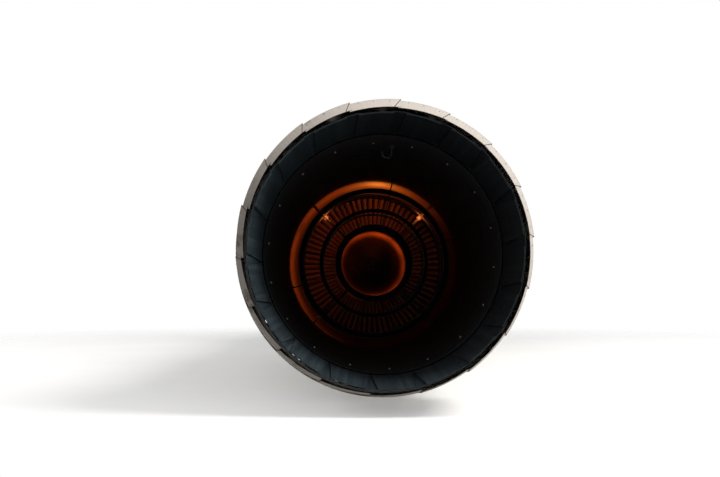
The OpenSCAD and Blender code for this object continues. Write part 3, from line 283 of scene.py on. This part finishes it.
# %% Temper colours
temper_tree, given, result = new_group(
    "temper_colours", [("Position", VECTOR, None), ("Heat", FLOAT, 0.5), ("Spread", FLOAT, 0.25)],
    [("Color", COLOUR)])
drift = add(temper_tree, "ShaderNodeTexNoise",
            {"Vector": given["Position"], "Scale": 3.5, "Detail": 5.0, "Roughness": 0.6})
offset = maths(temper_tree, "MULTIPLY", maths(temper_tree, "SUBTRACT", drift.outputs["Fac"], 0.5),
               given["Spread"])
heat = maths(temper_tree, "ADD", given["Heat"], offset, clamp=True)
temper = ramp(temper_tree, heat, [
    (0.0, (0.47, 0.46, 0.44)), (0.22, (0.50, 0.42, 0.28)), (0.42, (0.36, 0.21, 0.11)),
    (0.58, (0.19, 0.12, 0.17)), (0.74, (0.10, 0.13, 0.20)), (1.0, (0.13, 0.115, 0.10))])
temper_tree.links.new(temper, result["Color"])
print("shared effects:", [tree.name for tree in bpy.data.node_groups])

# %% [markdown]
# Cases are clean metal outside and sooty inside. Which side a surface is on follows from its
# normal: where that points towards the engine's axis, the surface is an inner one.

# %% Inner surfaces
inner_tree, given, result = new_group(
    "inner_surfaces", [("Position", VECTOR, None), ("Normal", VECTOR, None)], [("Mask", FLOAT)])
flat = add(inner_tree, "ShaderNodeVectorMath", {0: given["Position"], 1: (1.0, 0.0, 1.0)}, operation="MULTIPLY")
outward = add(inner_tree, "ShaderNodeVectorMath", {0: flat.outputs[0]}, operation="NORMALIZE")
lean = add(inner_tree, "ShaderNodeVectorMath", {0: outward.outputs[0], 1: given["Normal"]},
           operation="DOT_PRODUCT")
inner = add(inner_tree, "ShaderNodeMapRange",
            {"Value": lean.outputs["Value"], "From Min": 0.1, "From Max": -0.1})
inner_tree.links.new(inner.outputs["Result"], result["Mask"])
print("inner surfaces:", len(inner_tree.nodes), "nodes")

# %% [markdown]
# Every metal of the engine is the same recipe with other values: a base colour, temper colours
# on top, brushed lines, grime and scratches, and a bump that carries the lines and fine grain.
# One function builds it, and a short table gives each finish its values.

# %% The metal recipe
def metal(name, base, tint=0.0, heat=0.3, spread=0.3, lines=0.25, ring=1.0, fineness=260.0,
          grime_colour=(0.03, 0.026, 0.022), grime_amount=0.35, grime_size=6.0, rough=0.38,
          metallic=1.0, scratch=0.0, grain=0.15, specular=0.5, inside=None, extra=None):
    material = bpy.data.materials.new(name)
    material.use_nodes = True
    tree = material.node_tree
    tree.nodes.clear()
    output = tree.nodes.new("ShaderNodeOutputMaterial")
    shader = tree.nodes.new("ShaderNodeBsdfPrincipled")
    tree.links.new(shader.outputs[0], output.inputs["Surface"])
    place = add(tree, "ShaderNodeTexCoord").outputs["Object"]
    brush = use(tree, brushed_tree, {"Position": place, "Round": ring, "Fineness": fineness})
    dirt = use(tree, grime_tree, {"Position": place, "Size": grime_size, "Amount": grime_amount})
    hot = use(tree, temper_tree, {"Position": place, "Heat": heat, "Spread": spread})
    colour = blend(tree, tint, base, hot.outputs["Color"])
    shade = add(tree, "ShaderNodeMapRange", {"Value": brush.outputs["Lines"], "From Min": 0.3, "From Max": 0.7,
                                             "To Min": 1.0 - lines, "To Max": 1.0 + lines * 0.6})
    lit = add(tree, "ShaderNodeVectorMath", {0: colour, "Scale": shade.outputs["Result"]}, operation="SCALE")
    colour = blend(tree, dirt.outputs["Mask"], lit.outputs[0], grime_colour)
    roughness = add(tree, "ShaderNodeMapRange", {"Value": dirt.outputs["Mask"], "To Min": rough,
                                                 "To Max": min(0.95, rough + 0.3)}).outputs["Result"]
    roughness = maths(tree, "ADD", roughness,
                      maths(tree, "MULTIPLY", maths(tree, "SUBTRACT", brush.outputs["Lines"], 0.5), 0.25))
    if scratch:
        worn = use(tree, scratch_tree, {"Position": place, "Scale": 18.0})
        amount = maths(tree, "MULTIPLY", worn.outputs["Mask"], scratch)
        bright = tuple(min(1.0, v * 1.35 + 0.05) for v in base)
        colour = blend(tree, amount, colour, bright)
    if inside:
        normal = add(tree, "ShaderNodeTexCoord").outputs["Normal"]
        within = use(tree, inner_tree, {"Position": place, "Normal": normal})
        darkening = blend(tree, dirt.outputs["Mask"], inside, tuple(v * 0.3 for v in inside))
        colour = blend(tree, within.outputs["Mask"], colour, darkening)
    if extra:
        colour, roughness = extra(tree, place, colour, roughness, shader)
    height = maths(tree, "ADD", maths(tree, "MULTIPLY", brush.outputs["Lines"], lines * 1.2),
                   maths(tree, "MULTIPLY", dirt.outputs["Fine"], grain * 2))
    bump = add(tree, "ShaderNodeBump", {"Height": height, "Strength": 0.35, "Distance": 0.0012})
    tree.links.new(bump.outputs["Normal"], shader.inputs["Normal"])
    tree.links.new(colour, shader.inputs["Base Color"])
    tree.links.new(roughness, shader.inputs["Roughness"])
    shader.inputs["Metallic"].default_value = metallic
    shader.inputs["Specular IOR Level"].default_value = specular
    return material

# %% [markdown]
# Four finishes need something of their own. The petals' pale metal is painted darker and browner
# on the left and below, as painted shade on the side away from the light, in uneven patches, and
# the liner has rows of small holes that let cooling air through. The leaves carry long streaks that
# the gas has drawn along them, with a painted sheen at the lower left and painted shade at the top
# right. The exhaust cone is painted dark all over but for its limb, as painted shade on the face that
# looks back.

# %% Finishes of their own
def painted_side_shade_and_joints(tree, place, colour, roughness, shader):
    around = use(tree, round_tree, {"Position": place})
    # painted shade: towards the lower left, the side away from the light, the pale metal is darkened to
    # grey-brown in uneven patches
    painted_light_side = maths(tree, "COSINE", maths(tree, "SUBTRACT", around.outputs["Turn"], math.radians(218)))
    amount = add(tree, "ShaderNodeMapRange",
                 {"Value": painted_light_side, "From Min": -0.55, "From Max": 0.55, "To Max": 1.0})
    patches = use(tree, grime_tree, {"Position": place, "Size": 14.0, "Amount": 0.62})
    amount = maths(tree, "MULTIPLY", amount.outputs["Result"],
                   maths(tree, "ADD", maths(tree, "MULTIPLY", patches.outputs["Mask"], 0.25), 0.75))
    colour = blend(tree, amount, colour, (0.062, 0.054, 0.042))
    joints = use(tree, joint_tree, {"Position": place})
    return blend(tree, joints.outputs["Mask"], colour, (0.012, 0.011, 0.010)), roughness

# %% [markdown]
# Thin dark lines part the petals. They lie at even turns and slant a little with the radius, so
# the group turns the place into a share of one petal and marks where that share is a half.

# %% Joint lines between the petals
joint_tree, given, result = new_group(
    "petal_joints",
    [("Position", VECTOR, None), ("Petals", FLOAT, 18.0), ("First Turn", FLOAT, math.radians(leaf_turn)),
     ("Slant", FLOAT, 1.3), ("Width", FLOAT, 0.011)], [("Mask", FLOAT)])
centred = add(joint_tree, "ShaderNodeVectorMath",
              {0: given["Position"], 1: (shroud_centre[0], 0.0, shroud_centre[1])}, operation="SUBTRACT")
around = use(joint_tree, round_tree, {"Position": centred.outputs[0]})
beyond = maths(joint_tree, "SUBTRACT", around.outputs["Radius"], 0.55)
slanted = maths(joint_tree, "MULTIPLY", beyond, given["Slant"])
from_first = maths(joint_tree, "SUBTRACT", around.outputs["Turn"], given["First Turn"])
turn = maths(joint_tree, "ADD", from_first, slanted)
share = maths(joint_tree, "DIVIDE", maths(joint_tree, "MULTIPLY", turn, given["Petals"]), 2 * math.pi)
off_joint = maths(joint_tree, "ABSOLUTE", maths(joint_tree, "SUBTRACT", maths(joint_tree, "FRACT", share), 0.5))
line = add(joint_tree, "ShaderNodeMapRange", {
    "Value": off_joint, "From Min": given["Width"],
    "From Max": maths(joint_tree, "MULTIPLY", given["Width"], 0.5)})
joint_tree.links.new(line.outputs["Result"], result["Mask"])
print("petal joints:", len(joint_tree.nodes), "nodes")

# %% [markdown]
# The liner's cooling holes are small discs on a staggered grid that is rolled round the axis.

# %% Rows of holes
holes_tree, given, result = new_group(
    "rows_of_holes",
    [("Position", VECTOR, None), ("Holes Round", FLOAT, 150.0), ("Rows Per Metre", FLOAT, 26.0),
     ("Size", FLOAT, 0.16)], [("Mask", FLOAT)])
around = use(holes_tree, round_tree, {"Position": given["Position"]})
row = maths(holes_tree, "MULTIPLY", around.outputs["Station"], given["Rows Per Metre"])
odd_row = maths(holes_tree, "FLOORED_MODULO", maths(holes_tree, "FLOOR", row), 2.0)
shift = maths(holes_tree, "MULTIPLY", odd_row, 0.5)
column = maths(holes_tree, "ADD", shift, maths(holes_tree, "MULTIPLY", given["Holes Round"],
               maths(holes_tree, "DIVIDE", around.outputs["Turn"], 2 * math.pi)))
off_row = maths(holes_tree, "SUBTRACT", maths(holes_tree, "FRACT", row), 0.5)
off_column = maths(holes_tree, "SUBTRACT", maths(holes_tree, "FRACT", column), 0.5)
reach = maths(holes_tree, "SQRT", maths(holes_tree, "ADD", maths(holes_tree, "MULTIPLY", off_row, off_row),
                                        maths(holes_tree, "MULTIPLY", off_column, off_column)))
disc = add(holes_tree, "ShaderNodeMapRange", {
    "Value": reach, "From Min": given["Size"], "From Max": maths(holes_tree, "MULTIPLY", given["Size"], 0.7)})
holes_tree.links.new(disc.outputs["Result"], result["Mask"])
print("rows of holes:", len(holes_tree.nodes), "nodes")

# %% [markdown]
# Each of these functions takes the colour so far and lays its own mark over it: holes on the
# liner, streaks and a painted side-to-side sheen and shade on the leaves, and painted shade on the
# exhaust cone's tip.

# %% Marks on the liner, the leaves and the cone
def perforated(tree, place, colour, roughness, shader):
    holes = use(tree, holes_tree, {"Position": place})
    return blend(tree, holes.outputs["Mask"], colour, (0.001, 0.001, 0.001)), roughness


def streaks_and_painted_sheen(tree, place, colour, roughness, shader):
    broad = use(tree, brushed_tree, {"Position": place, "Round": 0.0, "Fineness": 22.0})
    pale = add(tree, "ShaderNodeMapRange", {"Value": broad.outputs["Lines"], "From Min": 0.5, "From Max": 0.75})
    amount = maths(tree, "MULTIPLY", pale.outputs["Result"], 0.4)
    colour = blend(tree, amount, colour, (0.055, 0.080, 0.090))
    # painted sheen and painted shade: the leaves are brightened towards the lower left and darkened towards the
    # top right
    around = use(tree, round_tree, {"Position": place})
    painted_light_side = maths(tree, "COSINE", maths(tree, "SUBTRACT", around.outputs["Turn"], math.radians(212)))
    shade = add(tree, "ShaderNodeMapRange", {"Value": painted_light_side, "From Min": -0.6, "From Max": 0.8,
                                             "To Min": 0.28, "To Max": 1.25})
    return add(tree, "ShaderNodeVectorMath", {0: colour, "Scale": shade.outputs["Result"]},
               operation="SCALE").outputs[0], roughness


def painted_shade_tip(tree, place, colour, roughness, shader):
    # painted shade: the cone's face that looks back is darkened towards its tip, all but its outer limb
    around = use(tree, round_tree, {"Position": place})
    share = maths(tree, "DIVIDE", around.outputs["Radius"], outer_radius("exhaust_cone"))
    darkening = add(tree, "ShaderNodeMapRange", {"Value": share, "From Min": 0.97, "From Max": 0.72},
               interpolation_type="SMOOTHSTEP")
    return blend(tree, darkening.outputs["Result"], colour, (0.045, 0.026, 0.014)), roughness

# %% [markdown]
# The pieces that the gas heats are darker and more coloured the further back they sit. Cases at
# the cold end are plain silver-grey; the burner and turbine cases turn straw and bronze; the
# nozzle leaves are blue-black; and the jet pipe's liner is covered in soot.

# %% Finishes
finishes = {
    "cast_alloy": metal("cast_alloy", (0.33, 0.33, 0.32), lines=0.06, grain=0.5, rough=0.55, grime_amount=0.36,
                        grime_colour=(0.10, 0.095, 0.085), scratch=0.3),
    "case_steel": metal("case_steel", (0.30, 0.29, 0.27), tint=0.25, heat=0.15, spread=0.5, lines=0.2,
                        rough=0.42, grime_amount=0.38, grime_colour=(0.09, 0.08, 0.07), scratch=0.4),
    "hot_case": metal("hot_case", (0.24, 0.21, 0.17), tint=0.5, heat=0.40, spread=0.75, lines=0.16,
                      rough=0.46, grime_amount=0.46, grime_colour=(0.07, 0.055, 0.045), scratch=0.25,
                      inside=(0.11, 0.085, 0.07)),
    "blade_metal": metal("blade_metal", (0.36, 0.36, 0.35), lines=0.12, rough=0.32, grime_amount=0.34),
    "turbine_metal": metal("turbine_metal", (0.085, 0.06, 0.045), tint=0.25, heat=0.5, spread=0.4, lines=0.1,
                           rough=0.55, grime_amount=0.5, metallic=0.7),
    "liner_metal": metal("liner_metal", (0.016, 0.017, 0.017), lines=0.3, rough=0.7, grime_amount=0.5,
                         grime_colour=(0.005, 0.005, 0.005), metallic=0.0, specular=0.12, extra=perforated),
    "leaf_metal": metal("leaf_metal", (0.014, 0.022, 0.026), lines=0.4, ring=0.0, fineness=90, rough=0.55,
                        grime_amount=0.5, grime_colour=(0.005, 0.006, 0.007), metallic=0.0, specular=0.14,
                        extra=streaks_and_painted_sheen),
    "petal_metal": metal("petal_metal", (0.62, 0.565, 0.51), lines=0.1, ring=0.0, rough=0.5,
                         grime_amount=0.34, grime_colour=(0.16, 0.135, 0.11), grime_size=9.0,
                         scratch=0.8, metallic=0.0, specular=0.05, extra=painted_side_shade_and_joints),
    "pipe_steel": metal("pipe_steel", (0.36, 0.36, 0.35), tint=0.2, heat=0.2, lines=0.05, rough=0.34,
                        grime_amount=0.36),
    "accessory_paint": metal("accessory_paint", (0.10, 0.105, 0.105), lines=0.0, grain=0.6, rough=0.5,
                             metallic=0.0, grime_amount=0.35, scratch=0.5),
    "bolt_steel": metal("bolt_steel", (0.24, 0.22, 0.20), lines=0.05, rough=0.42, grime_amount=0.35),
}
# the afterburner's case and the pieces in the jet pipe carry its soot
finishes["afterburner_case"] = metal("afterburner_case", (0.22, 0.20, 0.18), tint=0.55, heat=0.52, spread=0.6,
                                     lines=0.2, rough=0.5, grime_amount=0.5, grime_colour=(0.05, 0.045, 0.04),
                                     metallic=0.8, specular=0.3, inside=(0.060, 0.052, 0.045))
finishes["sooty_steel"] = metal("sooty_steel", (0.035, 0.035, 0.034), lines=0.2, rough=0.55, grime_amount=0.6,
                                grime_colour=(0.012, 0.011, 0.010), metallic=0.4, specular=0.3)

finishes["cone_steel"] = metal("cone_steel", (0.48, 0.32, 0.22), tint=0.2, heat=0.5, lines=0.1, rough=0.6,
                               grime_amount=0.35, metallic=0.6, specular=0.2, extra=painted_shade_tip)

slot_of = {row["node"]: row["material_slot"] for row in frame["record"]["subparts"]}
special = {"ab_diffuser": "afterburner_case", "exhaust_cone": "cone_steel"}
special.update((name, "sooty_steel") for name in ("nozzle_hinge_ring", "spray_rings", "duct_probe"))
for name, solid in nodes.items():
    solid.data.materials.clear()
    solid.data.materials.append(finishes[special.get(name, slot_of[name])])
print("finishes given to", len(nodes), "solids")

# %% [markdown]
# Rivets and screws sit on the surfaces in rows. One Geometry Nodes tree sets out points round an
# axis, shoots a ray from each to the solid, and stands a small head where the ray lands, along
# the surface's normal. Rays run inward, outward or along the engine, whichever way the row faces.

# %% Heads for rivets and screws
def head_mesh(name, sides, profile):
    bm = bmesh.new()
    turns = [2 * math.pi * k / sides for k in range(sides)]
    rings = [[bm.verts.new((out * math.cos(a), out * math.sin(a), up)) for a in turns]
             for out, up in profile]
    for lower, upper in zip(rings, rings[1:]):
        for k in range(sides):
            bm.faces.new((lower[k], lower[(k + 1) % sides], upper[(k + 1) % sides], upper[k]))
    bm.faces.new(rings[-1])
    bm.faces.new(rings[0][::-1])
    mesh = bpy.data.meshes.new(name)
    bm.to_mesh(mesh)
    bm.free()
    return bpy.data.objects.new(name, mesh)


rivet = head_mesh("rivet_head", 8, ((1.0, -0.3), (0.95, 0.18), (0.6, 0.42)))
screw = head_mesh("screw_head", 6, ((1.0, -0.4), (1.0, 0.75), (0.85, 0.9)))
print("head faces:", len(rivet.data.polygons), len(screw.data.polygons))

# %% [markdown]
# The tree's inputs are the row's sizes. A point's place comes from its index alone, so the ray
# that finds the surface gives the same answer before and after the point has moved there.

# %% The tree that sets a row of heads
row_tree = bpy.data.node_groups.new("row_of_heads", "GeometryNodeTree")
row_inputs = {}
for label, kind in (("Geometry", "NodeSocketGeometry"), ("Surface", "NodeSocketObject"),
                    ("Head", "NodeSocketObject"), ("Material", "NodeSocketMaterial"),
                    ("Count", "NodeSocketInt"), ("First Turn", "NodeSocketFloat"), ("Step", "NodeSocketFloat"),
                    ("Radius", "NodeSocketFloat"), ("Start", "NodeSocketFloat"),
                    ("Centre X", "NodeSocketFloat"), ("Centre Z", "NodeSocketFloat"),
                    ("Radial", "NodeSocketFloat"), ("Axial", "NodeSocketFloat"),
                    ("Size", "NodeSocketFloat")):
    socket = row_tree.interface.new_socket(label, in_out="INPUT", socket_type=kind)
    row_inputs[label] = socket.identifier
row_tree.interface.new_socket("Geometry", in_out="OUTPUT", socket_type="NodeSocketGeometry")
given = row_tree.nodes.new("NodeGroupInput").outputs
points = add(row_tree, "GeometryNodePoints", {"Count": given["Count"]})
angle = maths(row_tree, "MULTIPLY_ADD", add(row_tree, "GeometryNodeInputIndex").outputs[0], given["Step"])
row_tree.links.new(given["First Turn"], angle.node.inputs[2])
cosine, sine = maths(row_tree, "COSINE", angle), maths(row_tree, "SINE", angle)
origin = add(row_tree, "ShaderNodeCombineXYZ", {
    "X": maths(row_tree, "ADD", given["Centre X"], maths(row_tree, "MULTIPLY", cosine, given["Radius"])),
    "Y": given["Start"],
    "Z": maths(row_tree, "ADD", given["Centre Z"], maths(row_tree, "MULTIPLY", sine, given["Radius"]))})
heading = add(row_tree, "ShaderNodeCombineXYZ", {
    "X": maths(row_tree, "MULTIPLY", cosine, given["Radial"]), "Y": given["Axial"],
    "Z": maths(row_tree, "MULTIPLY", sine, given["Radial"])})
surface = add(row_tree, "GeometryNodeObjectInfo", {"Object": given["Surface"]})
shot = add(row_tree, "GeometryNodeRaycast", {
    "Target Geometry": surface.outputs["Geometry"], "Source Position": origin.outputs[0],
    "Ray Direction": heading.outputs[0], "Ray Length": 0.6})
placed = add(row_tree, "GeometryNodeSetPosition", {
    "Geometry": points.outputs[0], "Position": shot.outputs["Hit Position"]})
missed = add(row_tree, "FunctionNodeBooleanMath", {0: shot.outputs["Is Hit"]}, operation="NOT")
kept = add(row_tree, "GeometryNodeDeleteGeometry",
           {"Geometry": placed.outputs[0], "Selection": missed.outputs[0]})
upright = add(row_tree, "FunctionNodeAlignRotationToVector", {"Vector": shot.outputs["Hit Normal"]}, axis="Z")
head = add(row_tree, "GeometryNodeObjectInfo", {"Object": given["Head"]})
stood = add(row_tree, "GeometryNodeInstanceOnPoints", {
    "Points": kept.outputs[0], "Instance": head.outputs["Geometry"], "Rotation": upright.outputs[0],
    "Scale": given["Size"]})
real = add(row_tree, "GeometryNodeRealizeInstances", {"Geometry": stood.outputs[0]})
painted = add(row_tree, "GeometryNodeSetMaterial", {"Geometry": real.outputs[0], "Material": given["Material"]})
row_tree.links.new(painted.outputs[0], row_tree.nodes.new("NodeGroupOutput").inputs[0])
print("row tree:", len(row_tree.nodes), "nodes")

# %% [markdown]
# A row becomes a plain mesh straight away, and all rows on one solid are joined into one piece
# that rides on the solid's body.

# %% Rows on a solid
INWARD, OUTWARD, FORWARD, BACKWARD = (-1.0, 0.0), (1.0, 0.0), (0.0, 1.0), (0.0, -1.0)


def heads_on(solid, piece, rows, body="engine"):
    joined = bmesh.new()
    for station, count, first, way, out, size, head_object, finish, *centre in rows:
        carrier = bpy.data.objects.new("row", bpy.data.meshes.new("row"))
        bpy.context.scene.collection.objects.link(carrier)
        modifier = carrier.modifiers.new("row", "NODES")
        modifier.node_group = row_tree
        x, z = centre[0] if centre else (0.0, 0.0)
        step = 2 * math.pi / count
        for label, value in (("Surface", nodes[solid]), ("Head", head_object), ("Material", finishes[finish]),
                             ("Count", count), ("First Turn", math.radians(first)), ("Step", step),
                             ("Radius", out), ("Start", -station), ("Centre X", x), ("Centre Z", z),
                             ("Radial", way[0]), ("Axial", way[1]), ("Size", size)):
            modifier[row_inputs[label]] = value
        graph = bpy.context.evaluated_depsgraph_get()
        mesh = bpy.data.meshes.new_from_object(carrier.evaluated_get(graph))
        joined.from_mesh(mesh)
        bpy.data.objects.remove(carrier)
        bpy.data.meshes.remove(mesh)
    mesh = bpy.data.meshes.new(piece)
    joined.to_mesh(mesh)
    joined.free()
    mesh.materials.append(finishes[rows[0][7]])
    result = bpy.data.objects.new(piece, mesh)
    bpy.context.scene.collection.objects.link(result)
    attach(result, body)
    print(piece, len(mesh.polygons), "faces")
    return result

# %% [markdown]
# The petals have two rows of rivets where they lap the shroud, and a line of them down each
# edge. Their lips have a few more on the face that looks back. The shroud, the duct's bands and
# the liner's supports have a row each.

# %% Rivets on the nozzle and the duct
petal_front = front_of("outer_petals")
far = 0.68
petal_rows = [(petal_front + 0.010, 108, 0.0, INWARD, far, 0.0032, rivet, "bolt_steel", shroud_centre),
              (petal_front + 0.050, 90, 0.0, INWARD, far, 0.0032, rivet, "bolt_steel", shroud_centre)]
for k in range(6):
    for edge in (-7.6, 7.2):
        petal_rows.append((petal_front + 0.085 + 0.038 * k, 18, leaf_turn + edge, INWARD, far, 0.0030, rivet,
                           "bolt_steel", shroud_centre))
for edge in (-6.0, 0.5, 6.5):
    petal_rows.append((exit_station + 0.1, 18, leaf_turn + edge, FORWARD, 0.5445, 0.0021, rivet, "bolt_steel",
                       shroud_centre))
heads_on("outer_petals", "petal_rivets", petal_rows)
shroud_front = front_of("outer_shroud")
heads_on("outer_shroud", "shroud_rivets", [
    (shroud_front + back, 72, 2.5 * k, INWARD, far, 0.0030, rivet, "bolt_steel", shroud_centre)
    for k, back in enumerate((0.018, 0.034, 0.125))])
heads_on("ab_duct", "duct_rivets", [
    (station, 60, 3.0, INWARD, far, 0.0032, rivet, "bolt_steel")
    for station in (duct_front + 0.455, duct_front + 0.755, duct_front + 1.015, duct_front + 1.435)])
heads_on("ab_liner", "liner_screws", [
    (station, 36, 4.0, OUTWARD, 0.40, 0.0035, rivet, "liner_metal")
    for station in (duct_back - 0.62, duct_back - 1.12, duct_back - 1.6)])
heads_on("ab_liner", "liner_studs", [
    (duct_back - 0.105, 18, leaf_turn, OUTWARD, 0.40, 0.0055, screw, "bolt_steel")])

# %% [markdown]
# Each fuel feed of the afterburner has a union nut just inside the outermost spray ring. The
# upper two catch the light in the photograph.

# %% Unions on the feeds
spray_station = (front_of("spray_rings") + back_of("spray_rings")) / 2
union_reach = 0.39


def union_nuts():
    mesh = bpy.data.meshes.new("feed_unions")
    bm = bmesh.new()
    for turn in (45, 135, 225, 315):
        place = (Matrix.Rotation(math.radians(-turn), 4, "Y") @ Matrix.Translation((union_reach, 0, 0))
                 @ Matrix.Rotation(math.pi / 2, 4, "Y"))
        place.translation.y = -spray_station
        for radius, depth in ((0.016, 0.016), (0.012, 0.030)):
            bmesh.ops.create_cone(bm, cap_ends=True, segments=6 if radius > 0.014 else 20, radius1=radius,
                                  radius2=radius, depth=depth, matrix=place)
    bm.to_mesh(mesh)
    bm.free()
    mesh.materials.append(finishes["sooty_steel"])
    unions = bpy.data.objects.new("feed_unions", mesh)
    bpy.context.scene.collection.objects.link(unions)
    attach(unions, "engine")
    print("feed_unions", len(mesh.polygons), "faces")


union_nuts()

# %% [markdown]
# The accessories are held by rings of small screws round their flanges.

# %% Screws on the accessories
for name, count, way in (("starter", 12, BACKWARD), ("fuel_pump", 12, FORWARD), ("oil_pump", 10, FORWARD)):
    low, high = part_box(name)
    centre = ((low.x + high.x) / 2, -0.524)
    if way == BACKWARD:
        start, reach = -high.y - 0.05, 0.0487
    else:
        start, reach = -low.y + 0.05, 0.0487 if name == "fuel_pump" else 0.0405
    heads_on(name, name + "_screws", [
        (start, count, 10.0, way, reach, 0.0042, screw, "bolt_steel", centre)])

# %% [markdown]
# The studio: a pale floor that keeps the engine's shadow and fades into a white world, a large
# soft lamp high on the right, and weaker ones on the other side. The world
# is white where it is seen, and dimmer as a light.

# %% Floor and world
floor_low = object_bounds()[0].z - 0.02
bpy.ops.mesh.primitive_plane_add(size=60, location=(0, -3, floor_low))
floor = bpy.context.object
floor.name = "studio_floor"
floor_paint = bpy.data.materials.new("floor_paint")
floor_paint.use_nodes = True
tree = floor_paint.node_tree
shader = tree.nodes["Principled BSDF"]
place = add(tree, "ShaderNodeTexCoord").outputs["Object"]
mottle = add(tree, "ShaderNodeTexNoise", {"Vector": place, "Scale": 1.5, "Detail": 4.0})
tree.links.new(ramp(tree, mottle.outputs["Fac"], [(0.3, (0.90, 0.90, 0.89)), (0.7, (0.93, 0.93, 0.92))]),
               shader.inputs["Base Color"])
shader.inputs["Roughness"].default_value = 0.8
away = add(tree, "ShaderNodeVectorMath", {0: place}, operation="LENGTH")
fade = add(tree, "ShaderNodeMapRange", {"Value": away.outputs["Value"], "From Min": 2.0, "From Max": 5.6},
           interpolation_type="SMOOTHSTEP")
clear = tree.nodes.new("ShaderNodeBsdfTransparent")
faded = add(tree, "ShaderNodeMixShader", {0: fade.outputs["Result"], 1: shader.outputs[0], 2: clear.outputs[0]})
tree.links.new(faded.outputs[0], tree.nodes["Material Output"].inputs["Surface"])
floor.data.materials.append(floor_paint)

world = bpy.data.worlds.new("studio")
bpy.context.scene.world = world
world.use_nodes = True
tree = world.node_tree
tree.nodes.clear()
rays = add(tree, "ShaderNodeLightPath")
seen = maths(tree, "MAXIMUM", rays.outputs["Is Camera Ray"],
             maths(tree, "MAXIMUM", rays.outputs["Is Glossy Ray"], rays.outputs["Is Transmission Ray"]))
strength = add(tree, "ShaderNodeMapRange", {"Value": seen, "To Min": 0.5, "To Max": 1.0})
sky = add(tree, "ShaderNodeBackground", {"Color": (1.0, 1.0, 1.0, 1), "Strength": strength.outputs["Result"]})
tree.links.new(sky.outputs[0], add(tree, "ShaderNodeOutputWorld").inputs["Surface"])
print("floor at", round(floor_low, 3))

# %% [markdown]
# A soft lamp is a large disk that faces its target. Its size makes the shadows' edges soft. The
# strongest one stands high on the right, where the ring of petals is brightest.

# %% Lamps
def soft_lamp(name, place, target, size, power, colour=(1, 1, 1)):
    data = bpy.data.lights.new(name, "AREA")
    data.shape = "DISK"
    data.size = size
    data.energy = power
    data.color = colour
    lamp = bpy.data.objects.new(name, data)
    lamp.location = place
    lamp.rotation_euler = (Vector(target) - Vector(place)).to_track_quat("-Z", "Y").to_euler()
    bpy.context.scene.collection.objects.link(lamp)
    return lamp


nozzle = (0, -exit_station, 0)
soft_lamp("soft_right", (4.2, -exit_station - 1.6, 4.6), nozzle, 2.6, 480, (1.0, 0.97, 0.94))
soft_lamp("soft_left", (-5.0, -exit_station - 2.0, 2.5), nozzle, 3.0, 60)
soft_lamp("side_right", (6.0, -2.5, 3.5), (0, -3, 0), 4.0, 130)
soft_lamp("side_left", (-6.0, -2.5, 3.5), (0, -3, 0), 4.0, 130)
print("soft lamps around the nozzle at", round(-exit_station, 3))

# %% [markdown]
# Deep in the jet pipe an orange light falls on the diffuser's wall, the turbine's exit and the
# limb of the exhaust cone, while everything that faces back stays dark. Small warm lamps in the
# ring-shaped passage make it. Each one shines to one side only. A row of them looks outward and
# lights the wall in an arc, strongest at the top; the others look forward past the cone's base,
# so that the blades glow and the cone's tip stays black.

# %% Glow in the jet pipe
def glow_lamp(name, turn, out, at, outward, forward, power, size=0.05, colour=(1.0, 0.13, 0.012)):
    x, z = math.cos(math.radians(turn)), math.sin(math.radians(turn))
    data = bpy.data.lights.new(name, "AREA")
    data.shape = "DISK"
    data.size = size
    data.energy = power
    data.color = colour
    lamp = bpy.data.objects.new(name, data)
    lamp.location = (out * x, -at, out * z)
    lamp.rotation_euler = Vector((outward * x, forward, outward * z)).to_track_quat("-Z", "Y").to_euler()
    lamp.visible_camera = lamp.visible_glossy = False
    bpy.context.scene.collection.objects.link(lamp)


wall_glow = ((48, 0.5), (68, 2.2), (86, 5.5), (104, 2.2), (122, 1.9), (140, 1.8), (158, 1.8), (176, 1.7),
             (194, 1.4), (210, 0.9))
for number, (turn, power) in enumerate(wall_glow):
    glow_lamp(f"wall_glow_{number}", turn, 0.36, cone_base + 0.35, 1.0, 0.4, power)
for number, (turn, power) in enumerate(((222, 0.20), (232, 0.18), (241, 0.22))):
    glow_lamp(f"edge_glow_{number}", turn, 0.42, cone_base + 0.44, 1.0, 0.0, power, 0.02)
glow_lamp("wall_glow_top", 86, 0.40, cone_base + 0.36, 1.0, 0.2, 4.0, 0.02, (1.0, 0.36, 0.05))
for turn in (45, 135):
    glow_lamp(f"union_glow_{turn}", turn, union_reach, spray_station + 0.035, 0.0, 1.0, 0.35, 0.012,
              (1.0, 0.22, 0.05))
cone_glow = ((75, 0.34), (35, 0.26), (115, 0.17), (155, 0.09), (195, 0.10), (235, 0.12), (275, 0.13),
             (315, 0.12), (355, 0.13))
for number, (turn, power) in enumerate(cone_glow):
    glow_lamp(f"cone_glow_{number}", turn, 0.29, cone_base + 0.19, -0.9, 1.0, power, 0.08)
print("lamps in the jet pipe:", len(wall_glow) + len(cone_glow) + 6)
